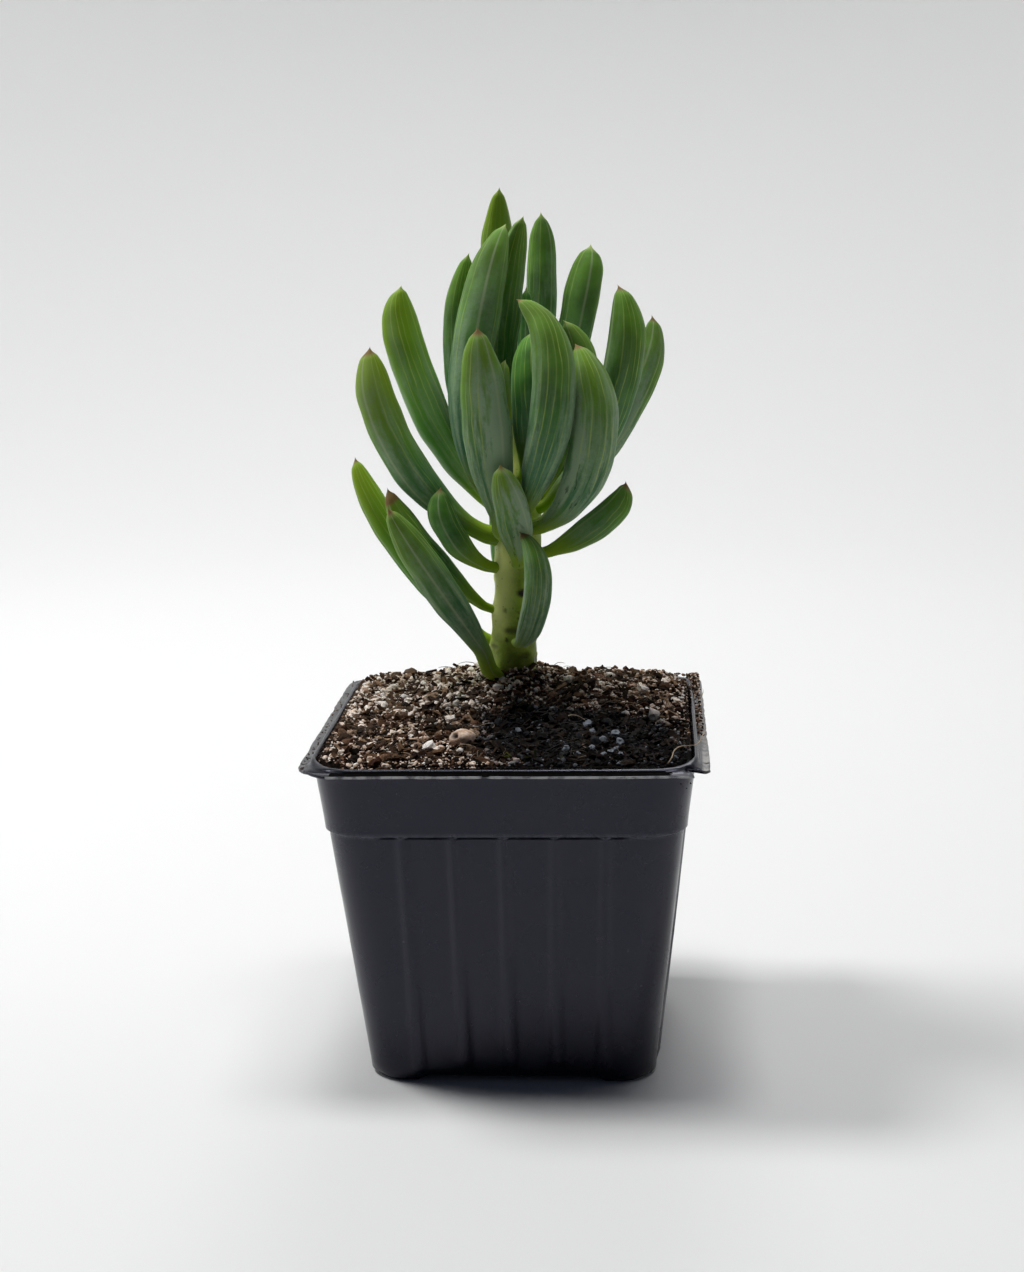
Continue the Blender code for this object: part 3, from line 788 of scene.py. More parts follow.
def leafSkin():
    # fleshy leaf under a powdery wax: olive, cool grey-green where whole, and clear green where it is thin,
    # with painted light shining through
    skin = Skin("waxy blue-green leaf skin")
    names = ("along", "across", "fromTip", "fromFoot", "seed")
    along, across, fromTip, fromFoot, seed = [skin.read(name) for name in names]
    patches = skin.cloud(130, 3, 0.6)
    powder = skin.cloud(1100, 3, 0.7)
    streaks = skin.cloud(1, 4, 0.62, skin.spot(skin.times(across, 3.2), skin.times(along, 3), seed))
    skin.colour = paint("#235c1e")
    skin.coat(skin.step(patches, 0.35, 0.65), "#4f8a30")
    # painted shade: cooler and bluer low on the leaf, where the leaves above shade it
    skin.coat(skin.step(along, 0.85, 0.25, 0, 0.85), "#1f5e44")
    # painted light: a brighter clear green where light shines through the thin leaf
    skin.coat(skin.times(skin.read("sunlit"), 0.7), "#5da018")
    # the upper part turns olive and lime, and the foot a clear yellow-green, brightened as painted light
    # shining through the thin foot
    skin.coat(skin.times(skin.step(along, 0.35, 0.98), skin.read("lime")), "#86a214")
    skin.coat(skin.step(fromFoot, 19, 2, 0, 0.92), "#98b61a")
    # wax: thick on the flanks and low down, rubbed thin in patches, at the tip and at the foot
    wax = skin.times(skin.read("bloom"), skin.step(skin.away(across), 0.15, 0.8, 0.6, 1.4))
    wax = skin.times(wax, skin.step(streaks, 0.36, 0.62, 0.2, 1.25), skin.step(along, 0.97, 0.5, 0.25, 1.1))
    wax = skin.times(wax, skin.step(fromFoot, 3, 14, 0.15, 1), skin.step(powder, 0.3, 0.7, 0.75, 1.15))
    skin.coat(wax, "#90aa86")
    # veins: clear threads under the skin, about 0.3 mm wide, that come and go and close up at the tip
    for k, (vein, strength) in enumerate(((-0.62, 0.8), (-0.28, 1), (0.06, 0.75), (0.34, 1), (0.66, 0.7))):
        wander = skin.cloud(1, spot=skin.spot(3.7 * k + 1, skin.times(along, 4.5), skin.times(seed, 5)))
        bent = skin.plus(across, skin.times(skin.calc("SUBTRACT", wander, 0.5), 0.28))
        line = skin.step(skin.away(bent, vein), 0.045, 0.008)
        line = skin.times(line, skin.step(wander, 0.4, 0.56, 0.25, strength))
        veins = skin.calc("MAXIMUM", veins, line) if k else line
    veins = skin.times(veins, skin.step(along, 0.12, 0.6, 0.2, 1))
    skin.coat(skin.times(veins, 0.6), "#b4cc6a")
    # painted highlight: a pale line along the two thin edges, where light from behind catches them
    skin.coat(skin.step(skin.away(skin.read("outer")), 0.11, 0.02, 0, 0.5), "#aebb94")
    # scuffs where the wax was rubbed off and the skin bruised, drawn out along the leaf
    spot = skin.spot(skin.times(across, 5), skin.times(along, 8), skin.times(seed, 3))
    bruise = skin.step(skin.cloud(1, 5, 0.75, spot, 0.8), 0.58, 0.66)
    skin.coat(skin.times(bruise, skin.read("scuff"), skin.step(along, 0.7, 0.3, 0.35, 1), 0.7), "#26361a")
    skin.coat(skin.step(fromTip, 2.4, 0.3, 0, 0.7), "#c2cc86")
    # dry brown point
    dry = skin.step(skin.calc("SUBTRACT", fromTip, skin.read("brown")), 0.7, -0.5)
    skin.coat(skin.times(dry, 0.85), "#7a5236")
    relief = skin.plus(skin.times(veins, 0.35), skin.plus(skin.times(powder, 0.35), skin.times(patches, 0.9)))
    return skin.finish(
        skin.step(powder, 0.3, 0.7, 0.6, 0.78), (relief, 0.35, 0.0003), IOR=1.4, Specular_IOR_Level=0.22,
        Subsurface_Weight=0.2, Subsurface_Radius=(0.6, 1, 0.2), Subsurface_Scale=0.0016,
        Sheen_Weight=0.08, Sheen_Roughness=0.45, Sheen_Tint=paint("#dfe9df"))


# millimetres
stemShape = {
    "segments": 64, "rings": 170, "swell": 0.55, "swellSize": 3.2, "close": 3, "lip": 0.25, "rough": 0.28,
}
# old leaf scars: height, direction, half-width, half-height in mm, how brown, how deep
stemScars = (
    (103.2, 292, 1.6, 1.1, 1, 0.35), (94.2, 268, 2, 0.9, 0.55, 0.15), (92, 254, 0.6, 0.5, 0.8, 0.1),
    (92.8, 291, 1.1, 1.2, 0.65, 0.12), (99, 246, 0.5, 0.4, 0.6, 0.1), (97, 282, 0.5, 0.35, 0.7, 0.1),
    (88, 300, 1.5, 0.8, 0.5, 0.12), (90, 215, 1.6, 0.8, 0.6, 0.12), (95, 130, 2, 0.9, 0.8, 0.15),
    (88.5, 95, 2, 0.9, 0.8, 0.15), (92, 20, 2, 0.9, 0.8, 0.15), (101, 45, 1.8, 0.8, 0.7, 0.15),
    (106, 160, 1.7, 0.8, 0.7, 0.12), (86.5, 350, 1.8, 0.8, 0.7, 0.12), (98.5, 330, 1.7, 0.8, 0.6, 0.12),
)


def readStemLine():
    # the middle and the radius of the stem at each of its levels
    points = readPoints(frame["nodes"]["stem"]) / mm
    rows = []
    for z in np.unique(np.round(points[:, 2], 2)):
        own = points[np.abs(points[:, 2] - z) < 0.02]
        high, low = own.max(axis=0), own.min(axis=0)
        rows.append((*(high[:2] + low[:2]) / 2, z, (high[0] - low[0]) / 2))
    return np.array(rows)


def makeStem(leafFeet):
    s = stemShape
    stem = newBall("green_stem", s["segments"], s["rings"])
    ball = readPoints(stem)
    low, high = stemLine[0, 2], stemLine[-1, 2]
    z = low + (high - low) * (np.arccos(np.clip(-ball[:, 2], -1, 1)) / math.pi)
    angle = np.arctan2(ball[:, 1], ball[:, 0])
    radius = np.interp(z, stemLine[1:-1, 2], stemLine[1:-1, 3])
    radius *= np.sqrt(np.clip((z - low) / s["close"], 0, 1)) * np.sqrt(np.clip((high - z) / s["close"], 0, 1))
    scar = np.zeros(len(z))
    for height, direction, halfWidth, halfHeight, brown, deep in stemScars:
        aside = ((np.degrees(angle) - direction + 180) % 360 - 180) * math.pi / 180 * 5.2
        reach = np.sqrt((aside / halfWidth) ** 2 + ((z - height) / halfHeight) ** 2)
        scar = np.maximum(scar, brown * smoothStep(1.25, 0.6, reach))
        radius += s["lip"] * np.exp(-((reach - 1.2) / 0.5) ** 2) - deep * smoothStep(1.1, 0.5, reach)
    for foot, direction in leafFeet:
        aside = ((angle - direction + math.pi) % (2 * math.pi) - math.pi) * 5
        reach = np.sqrt(aside ** 2 + (z - foot) ** 2)
        radius += s["swell"] * np.exp(-(reach / s["swellSize"]) ** 2)
    for k in range(len(z)):
        place = Vector((math.cos(angle[k]) * 1.6, math.sin(angle[k]) * 1.6, z[k] * 0.22))
        radius[k] += s["rough"] * noise.noise(place) * (radius[k] > 1)
    x, y, z = stemCentre(z)
    writePoints(stem, np.column_stack([x + radius * np.cos(angle), y + radius * np.sin(angle), z]) * mm)
    writeValue(stem, "scar", scar)
    writeValue(stem, "height", z)
    # how far each point faces the light from the left, for the painted light
    writeValue(stem, "paintedLightSide", np.cos(angle - math.radians(200)))
    editAll(stem)
    turnOutward()
    finishPiece(stem, stemSkin(), "stem")


def stemSkin():
    # young green bark: smooth and a little waxy, yellow-green, with dry brown leaf scars and flecks
    skin = Skin("young green stem bark")
    height = skin.read("height")
    patches = skin.cloud(220, 4, 0.6)
    fleck = skin.cloud(900, 3, 0.7)
    skin.colour = paint("#7a8e1e")
    skin.coat(skin.step(patches, 0.35, 0.65), "#a8c040")
    skin.coat(skin.step(height, 106, 116, 0, 0.7), "#b4c860")
    skin.coat(skin.step(height, 91, 82, 0, 0.6), "#5c6a1c")
    # painted light: the left side, where light from the left reaches under the leaves, is painted pale and
    # almost clear
    pale = skin.step(skin.read("paintedLightSide"), 0.1, 0.9, 0, 0.95)
    skin.coat(skin.times(pale, skin.step(height, 91, 101, 0.15, 1)), "#f6f8a0")
    skin.coat(skin.step(fleck, 0.62, 0.7, 0, 0.6), "#4a4420")
    skin.coat(skin.read("scar"), "#2b2113")
    return skin.finish(
        0.5, (skin.plus(patches, fleck), 0.4, 0.0003), IOR=1.42, Specular_IOR_Level=0.3,
        Subsurface_Weight=0.25, Subsurface_Radius=(0.8, 1, 0.3), Subsurface_Scale=0.002)


stemLine = readStemLine()
blank = newBall("leaf_blank", leafShape["segments"], leafShape["rings"])
skin = leafSkin()
leafNodes = sorted(node for node in frame["nodes"] if node.startswith("leaf_"))
leafFeet = [makeLeaf(blank, node, skin, number) for number, node in enumerate(leafNodes)]
bpy.data.objects.remove(blank)
print("leaves made:", len(leafFeet))
makeStem(leafFeet)
print("stem made")


# potting mix: a lumpy bed with crumbs, grit, chips and fibres laid on it; millimetres and counts
mixShape = {
    "half": 40.5, "corner": 8.6, "cells": 236, "lump": 0.75, "crumb": 0.8, "floor": 5.2, "batch": 300,
    "peatSmall": 5600, "peatBig": 420, "rimPeat": 900, "spiltPeat": 420, "backPeat": 160, "leftPeat": 60,
    "gritSmall": 6700, "gritBig": 300, "gritBackLeft": 2300, "beadsBackLeft": 110, "rimGrit": 700, "spiltGrit": 130,
    "chips": 1100, "fibres": 420, "stemFoot": 80,
    # half-width and drop of each ring of the bed's sides, down to the pot's floor
    "sides": ((40.1, 2), (38, 11.5), (36.3, 3), (34.9, 16.5), (32.6, 21), (30.4, 13.5)),
}
# bigger pale stones that can be told apart: x, y, size in mm, tone
paleStones = (
    (-2.5, -12, 1.25, 0.95), (-0.6, -10.5, 0.95, 0.9), (2.2, -14.5, 1.25, 0.55), (0.5, -19, 1.2, 0.5),
    (4, -16.5, 0.9, 0.6), (-11.5, -18.5, 1.1, 0.9), (-17, -27, 1.6, 0.95), (-15.2, -27.6, 1.2, 0.8),
    (-14, -7.5, 1.3, 0.85), (-8, -13, 0.9, 0.8), (19.5, -24, 1.5, 0.5), (21.5, -22, 1.2, 0.45),
    (24, -26.5, 1, 0.45), (16, -20.5, 1.1, 0.5), (32.5, -6, 1.7, 0.75), (13.5, -27, 1, 0.4),
    (26, -3.5, 1.1, 0.7), (-24, -2, 1.2, 0.9), (-31, 6, 1.1, 0.9), (-27, 14, 1.3, 1),
    (-20.5, 20, 1.2, 0.95), (-34, -10, 1.1, 0.75), (30, 15, 1.4, 0.95), (22, 24, 1.2, 0.9),
    (-4, 8, 1.3, 0.9), (17.7, -11.9, 1.3, 1.2), (19.1, -15.4, 1.1, 1.2), (23.9, -19, 1.5, 1.2),
    (25, -22.5, 1.2, 1.2), (21.6, -33.4, 1.1, 1.2), (18.9, -26.6, 1, 1.2), (9.3, 0.8, 1.2, 1.2),
    (5.2, -1.8, 0.9, 1.2), (1.4, 1.2, 1, 1.2), (13.4, -28.2, 1, 1.2), (23.1, -28.6, 1.2, 1.2),
    (25.4, -31.8, 0.9, 1.2), (6.8, -17, 0.9, 1.2), (15.9, -31.4, 0.9, 1.2), (-6.5, 22, 1.3, 0.95),
    (12, 18, 1.2, 0.9), (35, 26, 1.1, 0.85), (-30, -26, 1, 0.8), (8, 31, 1.2, 0.8),
)


def soilSurface():
    shape = bmesh.new()
    shape.from_mesh(frame["nodes"]["soil"].data)
    tree = BVHTree.FromBMesh(shape)
    shape.free()
    return tree


def mixTop(x, y):
    # the bed's height: the fitted solid, lumps, a heap at the stem and a hollow on its right
    s = mixShape
    place = Vector((x, y, 0))
    lump = noise.noise(place * 0.11) + 0.5 * noise.noise(place * 0.27 + Vector((5, 1, 0)))
    crumb = noise.noise(place * 0.75 + Vector((1, 7, 2))) + 0.7 * noise.noise(place * 1.6)
    relief = s["lump"] * lump + s["crumb"] * crumb * 0.7
    fade = min(max((s["half"] + 0.8 - max(abs(x), abs(y))) / 3, 0.35), 1)
    stem = stemCentre(s["stemFoot"])
    heap = 3.4 * math.exp(-(math.hypot(x - stem[0] - 1, y - stem[1] + 3.5) / 5.6) ** 2)
    sunk = np.interp(x, [0, 4, 9, 13, 18, 25, 32], [0, 1.6, 3.2, 2.6, 1.8, 1.1, 0.2])
    above = Vector([min(max(value, -39.5), 39.5) * mm for value in (x, y)] + [0.3])
    hit = soilTree.ray_cast(above, Vector((0, 0, -1)))[0]
    height = (hit.z / mm if hit else 73) + relief * fade + heap
    return height - float(sunk * smoothStep(-8, 5, y))


def makeBed():
    s = mixShape
    grid = {"x_subdivisions": s["cells"], "y_subdivisions": s["cells"], "size": 2 * s["half"] * mm}
    bed = newPiece("peat_bed", bpy.ops.mesh.primitive_grid_add, **grid)
    flat = readPoints(bed)[:, :2] / mm
    # the grid's corners drawn in to round ones
    reach = s["half"] - s["corner"]
    u, v = np.clip((np.abs(flat) - reach) / s["corner"], 0, 1).T
    both = (u > 0) & (v > 0)
    share = [np.where(both, a * np.sqrt(1 - b * b / 2), a) for a, b in ((u, v), (v, u))]
    share = np.column_stack(share)
    flat = np.sign(flat) * np.where(share > 0, reach + share * s["corner"], np.abs(flat))
    z = np.array([mixTop(x, y) for x, y in flat])
    writePoints(bed, np.column_stack([flat, z]) * mm)
    editAll(bed, "EDGE")
    bpy.ops.mesh.select_all(action="DESELECT")
    bpy.ops.mesh.select_non_manifold()
    oldHalf = s["half"]
    for half, drop in s["sides"]:
        drawOut((0, 0, -drop * mm), (half / oldHalf, half / oldHalf, 1), bpy.ops.mesh.extrude_edges_move)
        oldHalf = half
    bpy.ops.mesh.edge_face_add()
    turnOutward()
    points = readPoints(bed)
    points[points[:, 2] < 12 * mm, 2] = s["floor"] * mm
    writePoints(bed, points)
    finishPiece(bed, bedPeat())


def makeBlanks(count, level, rough, squash, seed):
    # a few lumps of different shape; each loose grain is a copy of one of them
    rng = random.Random(seed)
    blanks = []
    for k in range(count):
        blank = newPiece("lump", bpy.ops.mesh.primitive_ico_sphere_add, subdivisions=level, radius=1)
        points = readPoints(blank)
        shift = Vector((rng.uniform(0, 50), rng.uniform(0, 50), rng.uniform(0, 50)))
        for n, point in enumerate(points):
            lump = noise.noise(Vector(point) * 1.1 + shift) + 0.6 * noise.noise(Vector(point) * 2.6 + shift)
            points[n] = point * (1 + rough * lump) * np.array((1, *squash))
        writePoints(blank, points)
        blanks.append(blank)
    return blanks


def layGrains(name, blanks, grains, material, seed):
    # grains: x, y, height, size, tone
    rng = random.Random(seed)
    for blank in blanks:
        writeValue(blank, "tone", 0)
        writeValue(blank, "grain", 0)
    shapes = [(blank, readPoints(blank)) for blank in blanks]
    made = []
    for x, y, z, size, tone in grains:
        blank, base = shapes[rng.randrange(len(shapes))]
        grain = copyOf(blank)
        turn = Matrix.Rotation(rng.uniform(0, 6.28), 3, "Z")
        for axis in "XY":
            turn = turn @ Matrix.Rotation(rng.gauss(0, 0.5), 3, axis)
        points = (base * size * mm) @ np.array(turn).T + np.array((x, y, z)) * mm
        grain.data.vertices.foreach_set("co", points.ravel())
        for value, amount in (("tone", tone), ("grain", rng.random())):
            grain.data.attributes[value].data.foreach_set("value", np.full(len(points), amount, np.float32))
        made.append(grain)
        if len(made) == mixShape["batch"]:
            # joined as they come, which is much quicker than all at once
            made = [joinAs(name, made)]
            bpy.data.batch_remove([mesh for mesh in bpy.data.meshes if mesh.users == 0])
    piece = joinAs(name, made)
    for blank in blanks:
        bpy.data.objects.remove(blank)
    finishPiece(piece, material, smooth=False)


def scatter(rng, count, half=39.6, clear=5.6):
    # random places on the mix, none past its round corners or inside the stem
    stem = stemCentre(mixShape["stemFoot"])
    corner = mixShape["corner"]
    places = []
    while len(places) < count:
        x, y = rng.uniform(-half, half), rng.uniform(-half, half)
        u, v = abs(x) - (half - corner), abs(y) - (half - corner)
        inside = u <= 0 or v <= 0 or math.hypot(u, v) <= corner
        if inside and math.hypot(x - stem[0], y - stem[1]) > clear:
            places.append((x, y))
    return places


def aroundEdge(rng, count, sizes, half=40.3):
    # grains on the low side of the mix, between the rim and its top
    corner = mixShape["corner"]
    reach = half - corner
    places = []
    for k in range(count):
        along = rng.uniform(-reach - 0.785 * corner, reach + 0.785 * corner)
        turn = max(abs(along) - reach, 0) / corner
        x = math.copysign(min(abs(along), reach) + corner * math.sin(turn), along)
        y = -reach - corner * math.cos(turn)
        for spin in range(rng.randrange(4)):
            x, y = -y, x
        low, high = 74.8, mixTop(x, y)
        if high > low:
            places.append((x, y, rng.uniform(low, high)))
    return [(*place, rng.uniform(*sizes), rng.random()) for place in places]


def onTop(places, rise, drawSize, drawTone, lift=0):
    # a grain at each place, standing out of the mix by a share of its size and a lift
    grains = []
    for x, y in places:
        size = drawSize()
        grains.append((x, y, mixTop(x, y) + size * rise + lift, size, drawTone()))
    return grains


def spilt(rng, count, back, spread, low, sizes):
    # over the rim at the back right, thinning out towards the front
    grains = []
    for k in range(count):
        y = back - spread * rng.random() ** 1.6
        x, z = rng.uniform(41.2, 43.7), low + rng.uniform(0, 1) * (y > 16)
        grains.append((x, y, z, rng.uniform(*sizes), rng.random()))
    return grains


def makePeat(rng):
    s = mixShape
    skin = peatCrumb()
    peat = aroundEdge(rng, s["rimPeat"], (0.3, 0.6))
    peat += onTop(scatter(rng, s["peatSmall"]), 0.25, lambda: rng.uniform(0.3, 0.75), rng.random)
    peat += spilt(rng, s["spiltPeat"], 43.4, 56, 75.3, (0.2, 0.5))
    for k in range(s["backPeat"]):
        x, y, z = rng.uniform(26, 43.4), rng.uniform(41.2, 43.6), 75.3 + rng.uniform(0, 1)
        peat.append((x, y, z, rng.uniform(0.2, 0.5), rng.random()))
    for k in range(s["leftPeat"]):
        x, y = rng.uniform(-43.6, -42.5), rng.uniform(-42, 40)
        peat.append((x, y, 75.3, rng.uniform(0.15, 0.32), rng.random() * 0.7))
    for turn, z in ((34, 73.1), (48, 73.4), (58, 72.4), (62, 70.9), (41, 71.6), (52, 70.2)):
        # a few stuck on the front right corner
        angle = math.radians(turn)
        peat.append((32 + 9.35 * math.sin(angle), -32 - 9.35 * math.cos(angle), z, 0.26, 0.2))
    layGrains("peat_crumbs", makeBlanks(8, 1, 0.55, (0.7, 0.5), 3), peat, skin, 5)
    lumpSize = lambda: rng.uniform(0.7, 1.4) if rng.random() < 0.85 else rng.uniform(1.4, 2)
    peat = onTop(scatter(rng, s["peatBig"], 38.8), 0.1, lumpSize, rng.random)
    layGrains("peat_lumps", makeBlanks(6, 2, 0.45, (0.8, 0.6), 8), peat, skin, 9)


def makePerlite(rng):
    s = mixShape
    skin = perlite()
    # paler tones for the back left, as painted light
    paleLitTone = lambda: rng.uniform(0.7, 1)
    gritSize = lambda: min(rng.lognormvariate(-1.14, 0.38), 0.8)
    grit = onTop(scatter(rng, s["gritSmall"]), 0.45, gritSize, rng.random)
    grit += aroundEdge(rng, s["rimGrit"], (0.2, 0.45))
    grit += spilt(rng, s["spiltGrit"], 43.2, 50, 75.4, (0.15, 0.35))
    # the back left lies under more grit, drawn paler as painted light where the light falls
    places = [(x, y) if y >= 0 else (-abs(x), -y) for x, y in scatter(rng, s["gritBackLeft"])]
    grit += onTop(places, 0.55, lambda: rng.uniform(0.25, 0.55), paleLitTone)
    layGrains("perlite_grit", makeBlanks(8, 1, 0.5, (0.75, 0.6), 12), grit, skin, 13)
    beads = onTop(scatter(rng, s["gritBig"], 38.8), 0.35, lambda: rng.uniform(0.5, 1), rng.random)
    # more beads at the back left, paler as painted light
    places = [(-abs(x), abs(y)) for x, y in scatter(rng, s["beadsBackLeft"], 38.8)]
    beads += onTop(places, 0.4, lambda: rng.uniform(0.6, 1.2), paleLitTone)
    beads += [(x, y, mixTop(x, y) + size * 0.55, size, tone) for x, y, size, tone in paleStones]
    layGrains("perlite_beads", makeBlanks(8, 2, 0.42, (0.8, 0.7), 15), beads, skin, 16)


mossBits = ((0.2, -34.3, 1.5), (1.2, -33, 1), (5.4, -34.3, 1.4), (6.8, -33.2, 1), (12.8, -34.8, 1))


def makeChips():
    rng = random.Random(77)
    blanks = []
    for k in range(5):
        blank = newPiece("chip", bpy.ops.mesh.primitive_cube_add, size=2)
        blank.scale = (1, rng.uniform(0.25, 0.5), rng.uniform(0.1, 0.2))
        bpy.ops.object.transform_apply(location=False, rotation=False, scale=True)
        editAll(blank)
        bpy.ops.mesh.subdivide(number_cuts=1, fractal=0.9, fractal_along_normal=0.5, seed=k + 2)
        setMode("OBJECT")
        blanks.append(blank)
    places = scatter(rng, mixShape["chips"], 38)
    chips = onTop(places, 0, lambda: rng.uniform(0.6, 1.9), lambda: rng.random() * 0.97, 0.4)
    # a few bits of moss by the front rim
    for x, y, size in mossBits:
        chips.append((x, y, mixTop(x, y) + 0.9, size, 1))
    layGrains("bark_chips", blanks, chips, barkChip(), 21)


def makeFibre(points, radius, tone):
    # one thin root: a square drawn along the points and closed to a tip
    points = [Vector(point) for point in points]
    square = {"vertices": 4, "radius": radius * mm, "fill_type": "NGON", "location": points[0] * mm}
    fibre = newPiece("fibre", bpy.ops.mesh.primitive_circle_add, **square)
    fibre.rotation_euler = (points[1] - points[0]).to_track_quat("Z", "Y").to_euler()
    bpy.ops.object.transform_apply(location=True, rotation=True, scale=True)
    editAll(fibre)
    for k in range(1, len(points)):
        shrink = 0.45 ** (1 / len(points)) if k < len(points) - 1 else 0.4
        drawOut((points[k] - points[k - 1]) * mm, (shrink, shrink, shrink))
    turnOutward()
    writeValue(fibre, "tone", tone)
    return fibre


def curl(rng, x, y, z, length, bend, rise):
    heading = rng.uniform(0, 6.28)
    turn = rng.uniform(-bend, bend)
    points = [(x, y, z)]
    steps = 8
    for k in range(steps):
        heading += turn + rng.uniform(-0.3, 0.3)
        x += math.cos(heading) * length / steps
        y += math.sin(heading) * length / steps
        z += rise * math.cos(math.pi * (k + 0.5) / steps) * length / steps
        points.append((x, y, z))
    return points


# pale root hairs: their points and their radius; two reach over the rim on the right
rootHairs = [
    ([(35.4, -39, 76), (36.3, -38, 77.2), (36.7, -34.5, 77.5), (37.9, -31.2, 77.6), (39.8, -30.3, 77.6),
      (41.4, -29.4, 77.5), (42.5, -24.5, 77), (43.2, -18, 76.5), (43.9, -13.6, 76.2), (44.2, -11.4, 76.2),
      (44.2, -10, 76.6)], 0.2),
    ([(43, 18, 75.4), (43.8, 18.3, 76.3), (44.3, 19, 77.1), (44.3, 20, 77.7), (44, 20.9, 77.9)], 0.13),
]
# and one curls over the plant's painted shadow: across, back and height over the mix
bow = (
    (11.6, -6.8, -0.3), (13.3, -6.6, 0.9), (15.2, -7.6, 1.1), (17, -9.6, 1.1), (18.4, -12.4, 0.9),
    (19.2, -15.6, -0.2),
)


def makeFibres():
    rng = random.Random(30)
    skin = rootFibre()
    pieces = []
    for x, y in scatter(rng, mixShape["fibres"], 35, 8):
        length = rng.uniform(2.5, 8)
        route = curl(rng, x, y, mixTop(x, y) + 0.5, length, 0.5, rng.uniform(0.1, 0.5))
        route = [(px, py, max(pz, mixTop(px, py) + 0.35)) for px, py, pz in route]
        radius = rng.uniform(0.07, 0.15)
        pieces.append(makeFibre(route, radius, rng.random()))
    finishPiece(joinAs("root_fibres", pieces), skin)
    pieces = []
    for points, radius in rootHairs + [([(x, y, mixTop(x, y) + lift) for x, y, lift in bow], 0.24)]:
        smooth = throughPoints(np.linspace(0, 1, len(points)), np.array(points), np.linspace(0, 1, 22))
        pieces.append(makeFibre(smooth, radius, 0.97))
    finishPiece(joinAs("root_hairs", pieces), skin)


def makePebble():
    pebble = newBall("tan_pebble", 40, 24)
    points = readPoints(pebble)
    centre = np.array((-9.9, -21.8, mixTop(-9.9, -21.8) + 1.1))
    pit = np.zeros(len(points))
    for k, point in enumerate(points):
        place = Vector(point)
        grow = 1 + 0.16 * noise.noise(place * 1.2 + Vector((2, 9, 4))) + 0.05 * noise.noise(place * 4)
        pit[k] = smoothStep(0.42, 0.18, (place - Vector((-0.62, -0.62, 0.48))).length)
        points[k] = point * (grow - 0.34 * pit[k]) * np.array((2.9, 2.2, 2.3)) + centre
    writePoints(pebble, points * mm)
    writeValue(pebble, "pit", pit)
    finishPiece(pebble, tanStone())


def paintedPlantShadow(skin):
    # painted shadow of the plant: the mix is painted darker in a long patch from the stem's foot to the front
    # right corner
    values = {"Vector": skin.place, "Location": (0.019, -0.024, 0), "Scale": (0.035, 0.024, 1)}
    values["Rotation"] = (0, 0, math.radians(-46))
    spot = skin.add("Mapping", values, vector_type="TEXTURE").outputs[0]
    away = skin.add("VectorMath", {0: spot}, operation="LENGTH").outputs["Value"]
    ragged = skin.times(skin.calc("SUBTRACT", skin.cloud(140, 3), 0.5), 0.9)
    return skin.step(skin.plus(away, ragged), 1.15, 0.72, 0, 0.93)


def paintedLightBackLeft(skin):
    # painted light: paler towards the back and the left, where the light falls
    x, y = skin.add("SeparateXYZ", {"Vector": skin.place}).outputs[:2]
    return skin.step(skin.calc("SUBTRACT", y, skin.times(x, 0.6)), -0.02, 0.045, 0, 0.3)


def bedPeat():
    # damp sphagnum peat: dark brown and black crumbs too small to model, dull
    skin = Skin("damp peat bed")
    crumb = skin.cloud(900, 5, 0.7)
    skin.ramp(crumb, (0.4, "#030201"), (0.56, "#180e08"), (0.7, "#5a3f2e"))
    cells = skin.add("TexVoronoi", {"Vector": skin.place, "Scale": 1100, "Randomness": 1}).outputs
    pick = skin.add("SeparateColor", {"Color": cells["Color"]}).outputs[0]
    speck = skin.times(skin.step(pick, 0.8, 0.84), skin.step(cells["Distance"], 0.42, 0.3), 0.85)
    skin.coat(speck, "#9c8674")
    # painted light towards the back left
    skin.coat(skin.times(paintedLightBackLeft(skin), 0.4), "#9a7c62")
    # painted shadow of the plant
    skin.coat(paintedPlantShadow(skin), "#050403")
    return skin.finish(0.92, (crumb, 0.9, 0.0006), Specular_IOR_Level=0.08)


def peatCrumb():
    # broken peat and composted bark: dull browns from black to tan
    skin = Skin("crumbled dark peat")
    tone = skin.read("tone")
    skin.ramp(tone, (0, "#060201"), (0.38, "#190e08"), (0.6, "#4a2b1b"), (0.8, "#8c6850"), (1, "#e0c2a8"))
    fine = skin.cloud(2200, 3, 0.7)
    skin.coat(skin.step(fine, 0.35, 0.7, 0.7, 0), "#0a0705")
    # painted light towards the back left
    skin.coat(paintedLightBackLeft(skin), "#a98d74")
    # painted shadow of the plant
    skin.coat(paintedPlantShadow(skin), "#060403")
    return skin.finish(0.88, (fine, 0.8, 0.0003), Specular_IOR_Level=0.08)


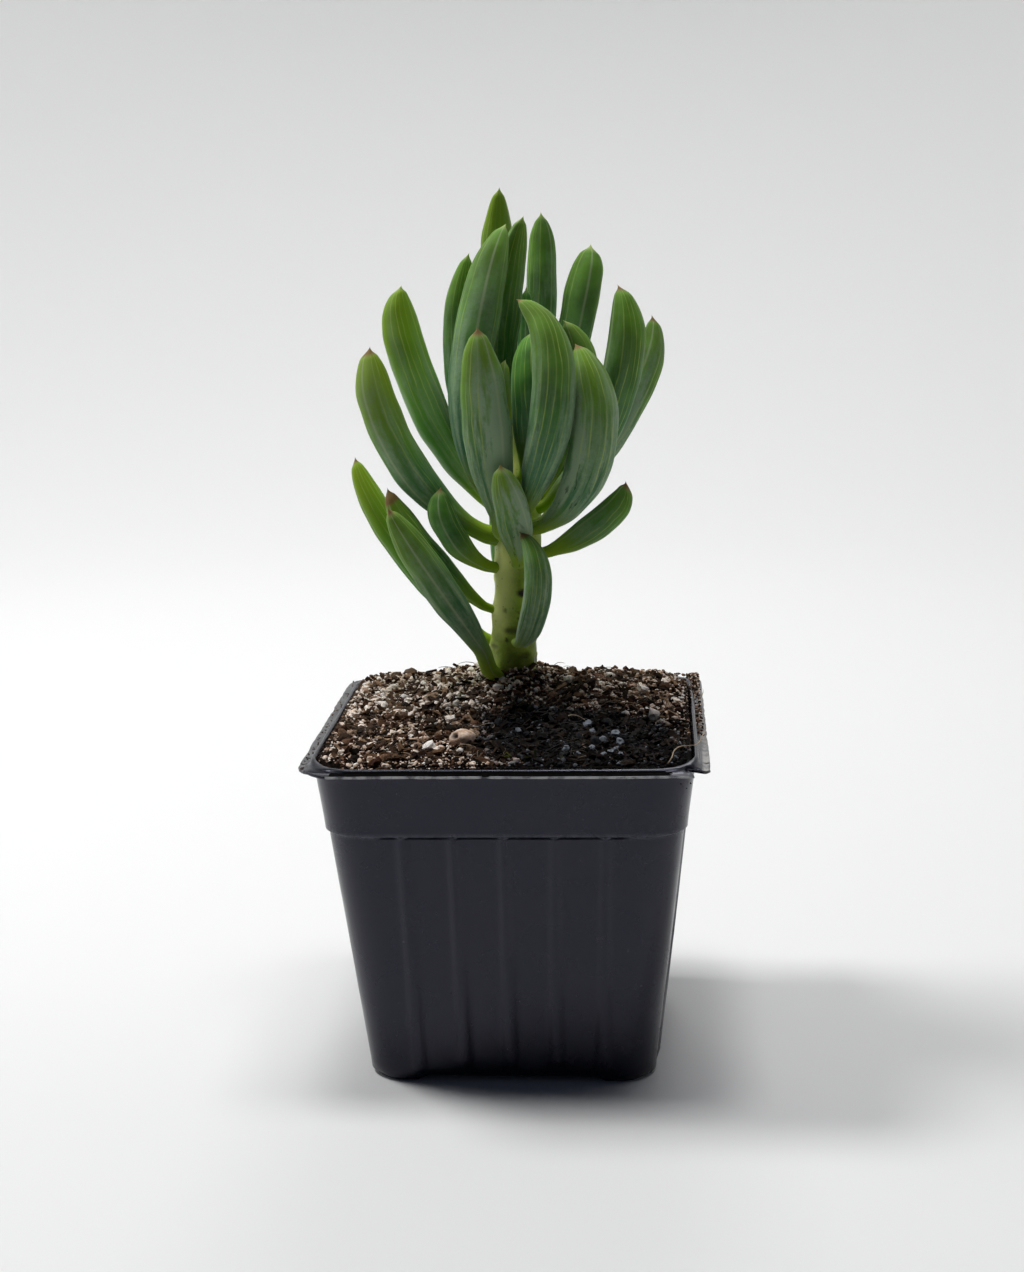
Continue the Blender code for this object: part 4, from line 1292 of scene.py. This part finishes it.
def perlite():
    # puffed volcanic glass, stained by the peat: chalky white to pinkish tan, pitted
    skin = Skin("expanded perlite")
    # damp: the plant's painted shadow
    tone, damp = skin.read("tone"), paintedPlantShadow(skin)
    skin.ramp(tone, (0, "#b0917c"), (0.2, "#d6b9a4"), (0.45, "#f2dac6"), (0.75, "#ffeede"), (1, "#fffaf4"))
    stain = skin.cloud(1500, 3, 0.65)
    skin.coat(skin.step(stain, 0.5, 0.35, 0, 0.4), "#5a4230")
    # painted shadow of the plant: perlite there is painted blue-grey
    skin.coat(damp, "#7f8894")
    # in the painted shadow all but one bead in eight is painted near black; that one stays grey
    pick = skin.calc("MAXIMUM", skin.read("grain"), skin.times(tone, 0.79))
    skin.coat(skin.times(damp, skin.step(pick, 0.8, 0.9, 1.05, 0.45)), "#09090b")
    return skin.finish(0.8, (stain, 0.6, 0.0002), Specular_IOR_Level=0.15)


def barkChip():
    # composted pine bark: thin splinters, brown with darker grain
    skin = Skin("composted pine bark")
    tone = skin.read("tone")
    skin.ramp(tone, (0, "#1c120b"), (0.4, "#3e2a1b"), (0.75, "#6a4c34"), (0.97, "#a48466"), (1, "#8d9440"))
    grain = skin.cloud(1300, 4, 0.75)
    skin.coat(skin.step(grain, 0.35, 0.65, 0.6, 0), "#120b07")
    # painted shadow of the plant
    skin.coat(paintedPlantShadow(skin), "#060403")
    return skin.finish(0.8, (grain, 0.7, 0.0003), Specular_IOR_Level=0.12)


def rootFibre():
    # dry roots and peat fibres: thin, tan to dark brown
    skin = Skin("dry root fibre")
    tone = skin.read("tone")
    skin.ramp(tone, (0, "#1a110b"), (0.5, "#4a3322"), (0.85, "#8a6b4c"), (1, "#dcc4a2"))
    skin.coat(skin.step(skin.cloud(1800), 0.4, 0.65, 0.4, 0), "#2c1d12")
    # painted shadow of the plant, weaker on the palest roots
    skin.coat(skin.times(paintedPlantShadow(skin), skin.step(tone, 0.9, 0.95, 1, 0.35)), "#0a0706")
    return skin.finish(0.75)


def tanStone():
    # weathered tan stone with a pit, painted dark as shade in it
    skin = Skin("weathered tan stone")
    cloud = skin.cloud(700, 4, 0.65)
    skin.ramp(cloud, (0.35, "#a08168"), (0.5, "#cfb199"), (0.65, "#ead8c6"))
    skin.coat(skin.read("pit"), "#2a1a10")
    return skin.finish(0.7, (cloud, 0.5, 0.0003))


soilTree = soilSurface()
makeBed()
print("bed of peat made")
grainDraws = random.Random(41)
makePeat(grainDraws)
makePerlite(grainDraws)
makeChips()
makeFibres()
makePebble()
print("loose grains laid")
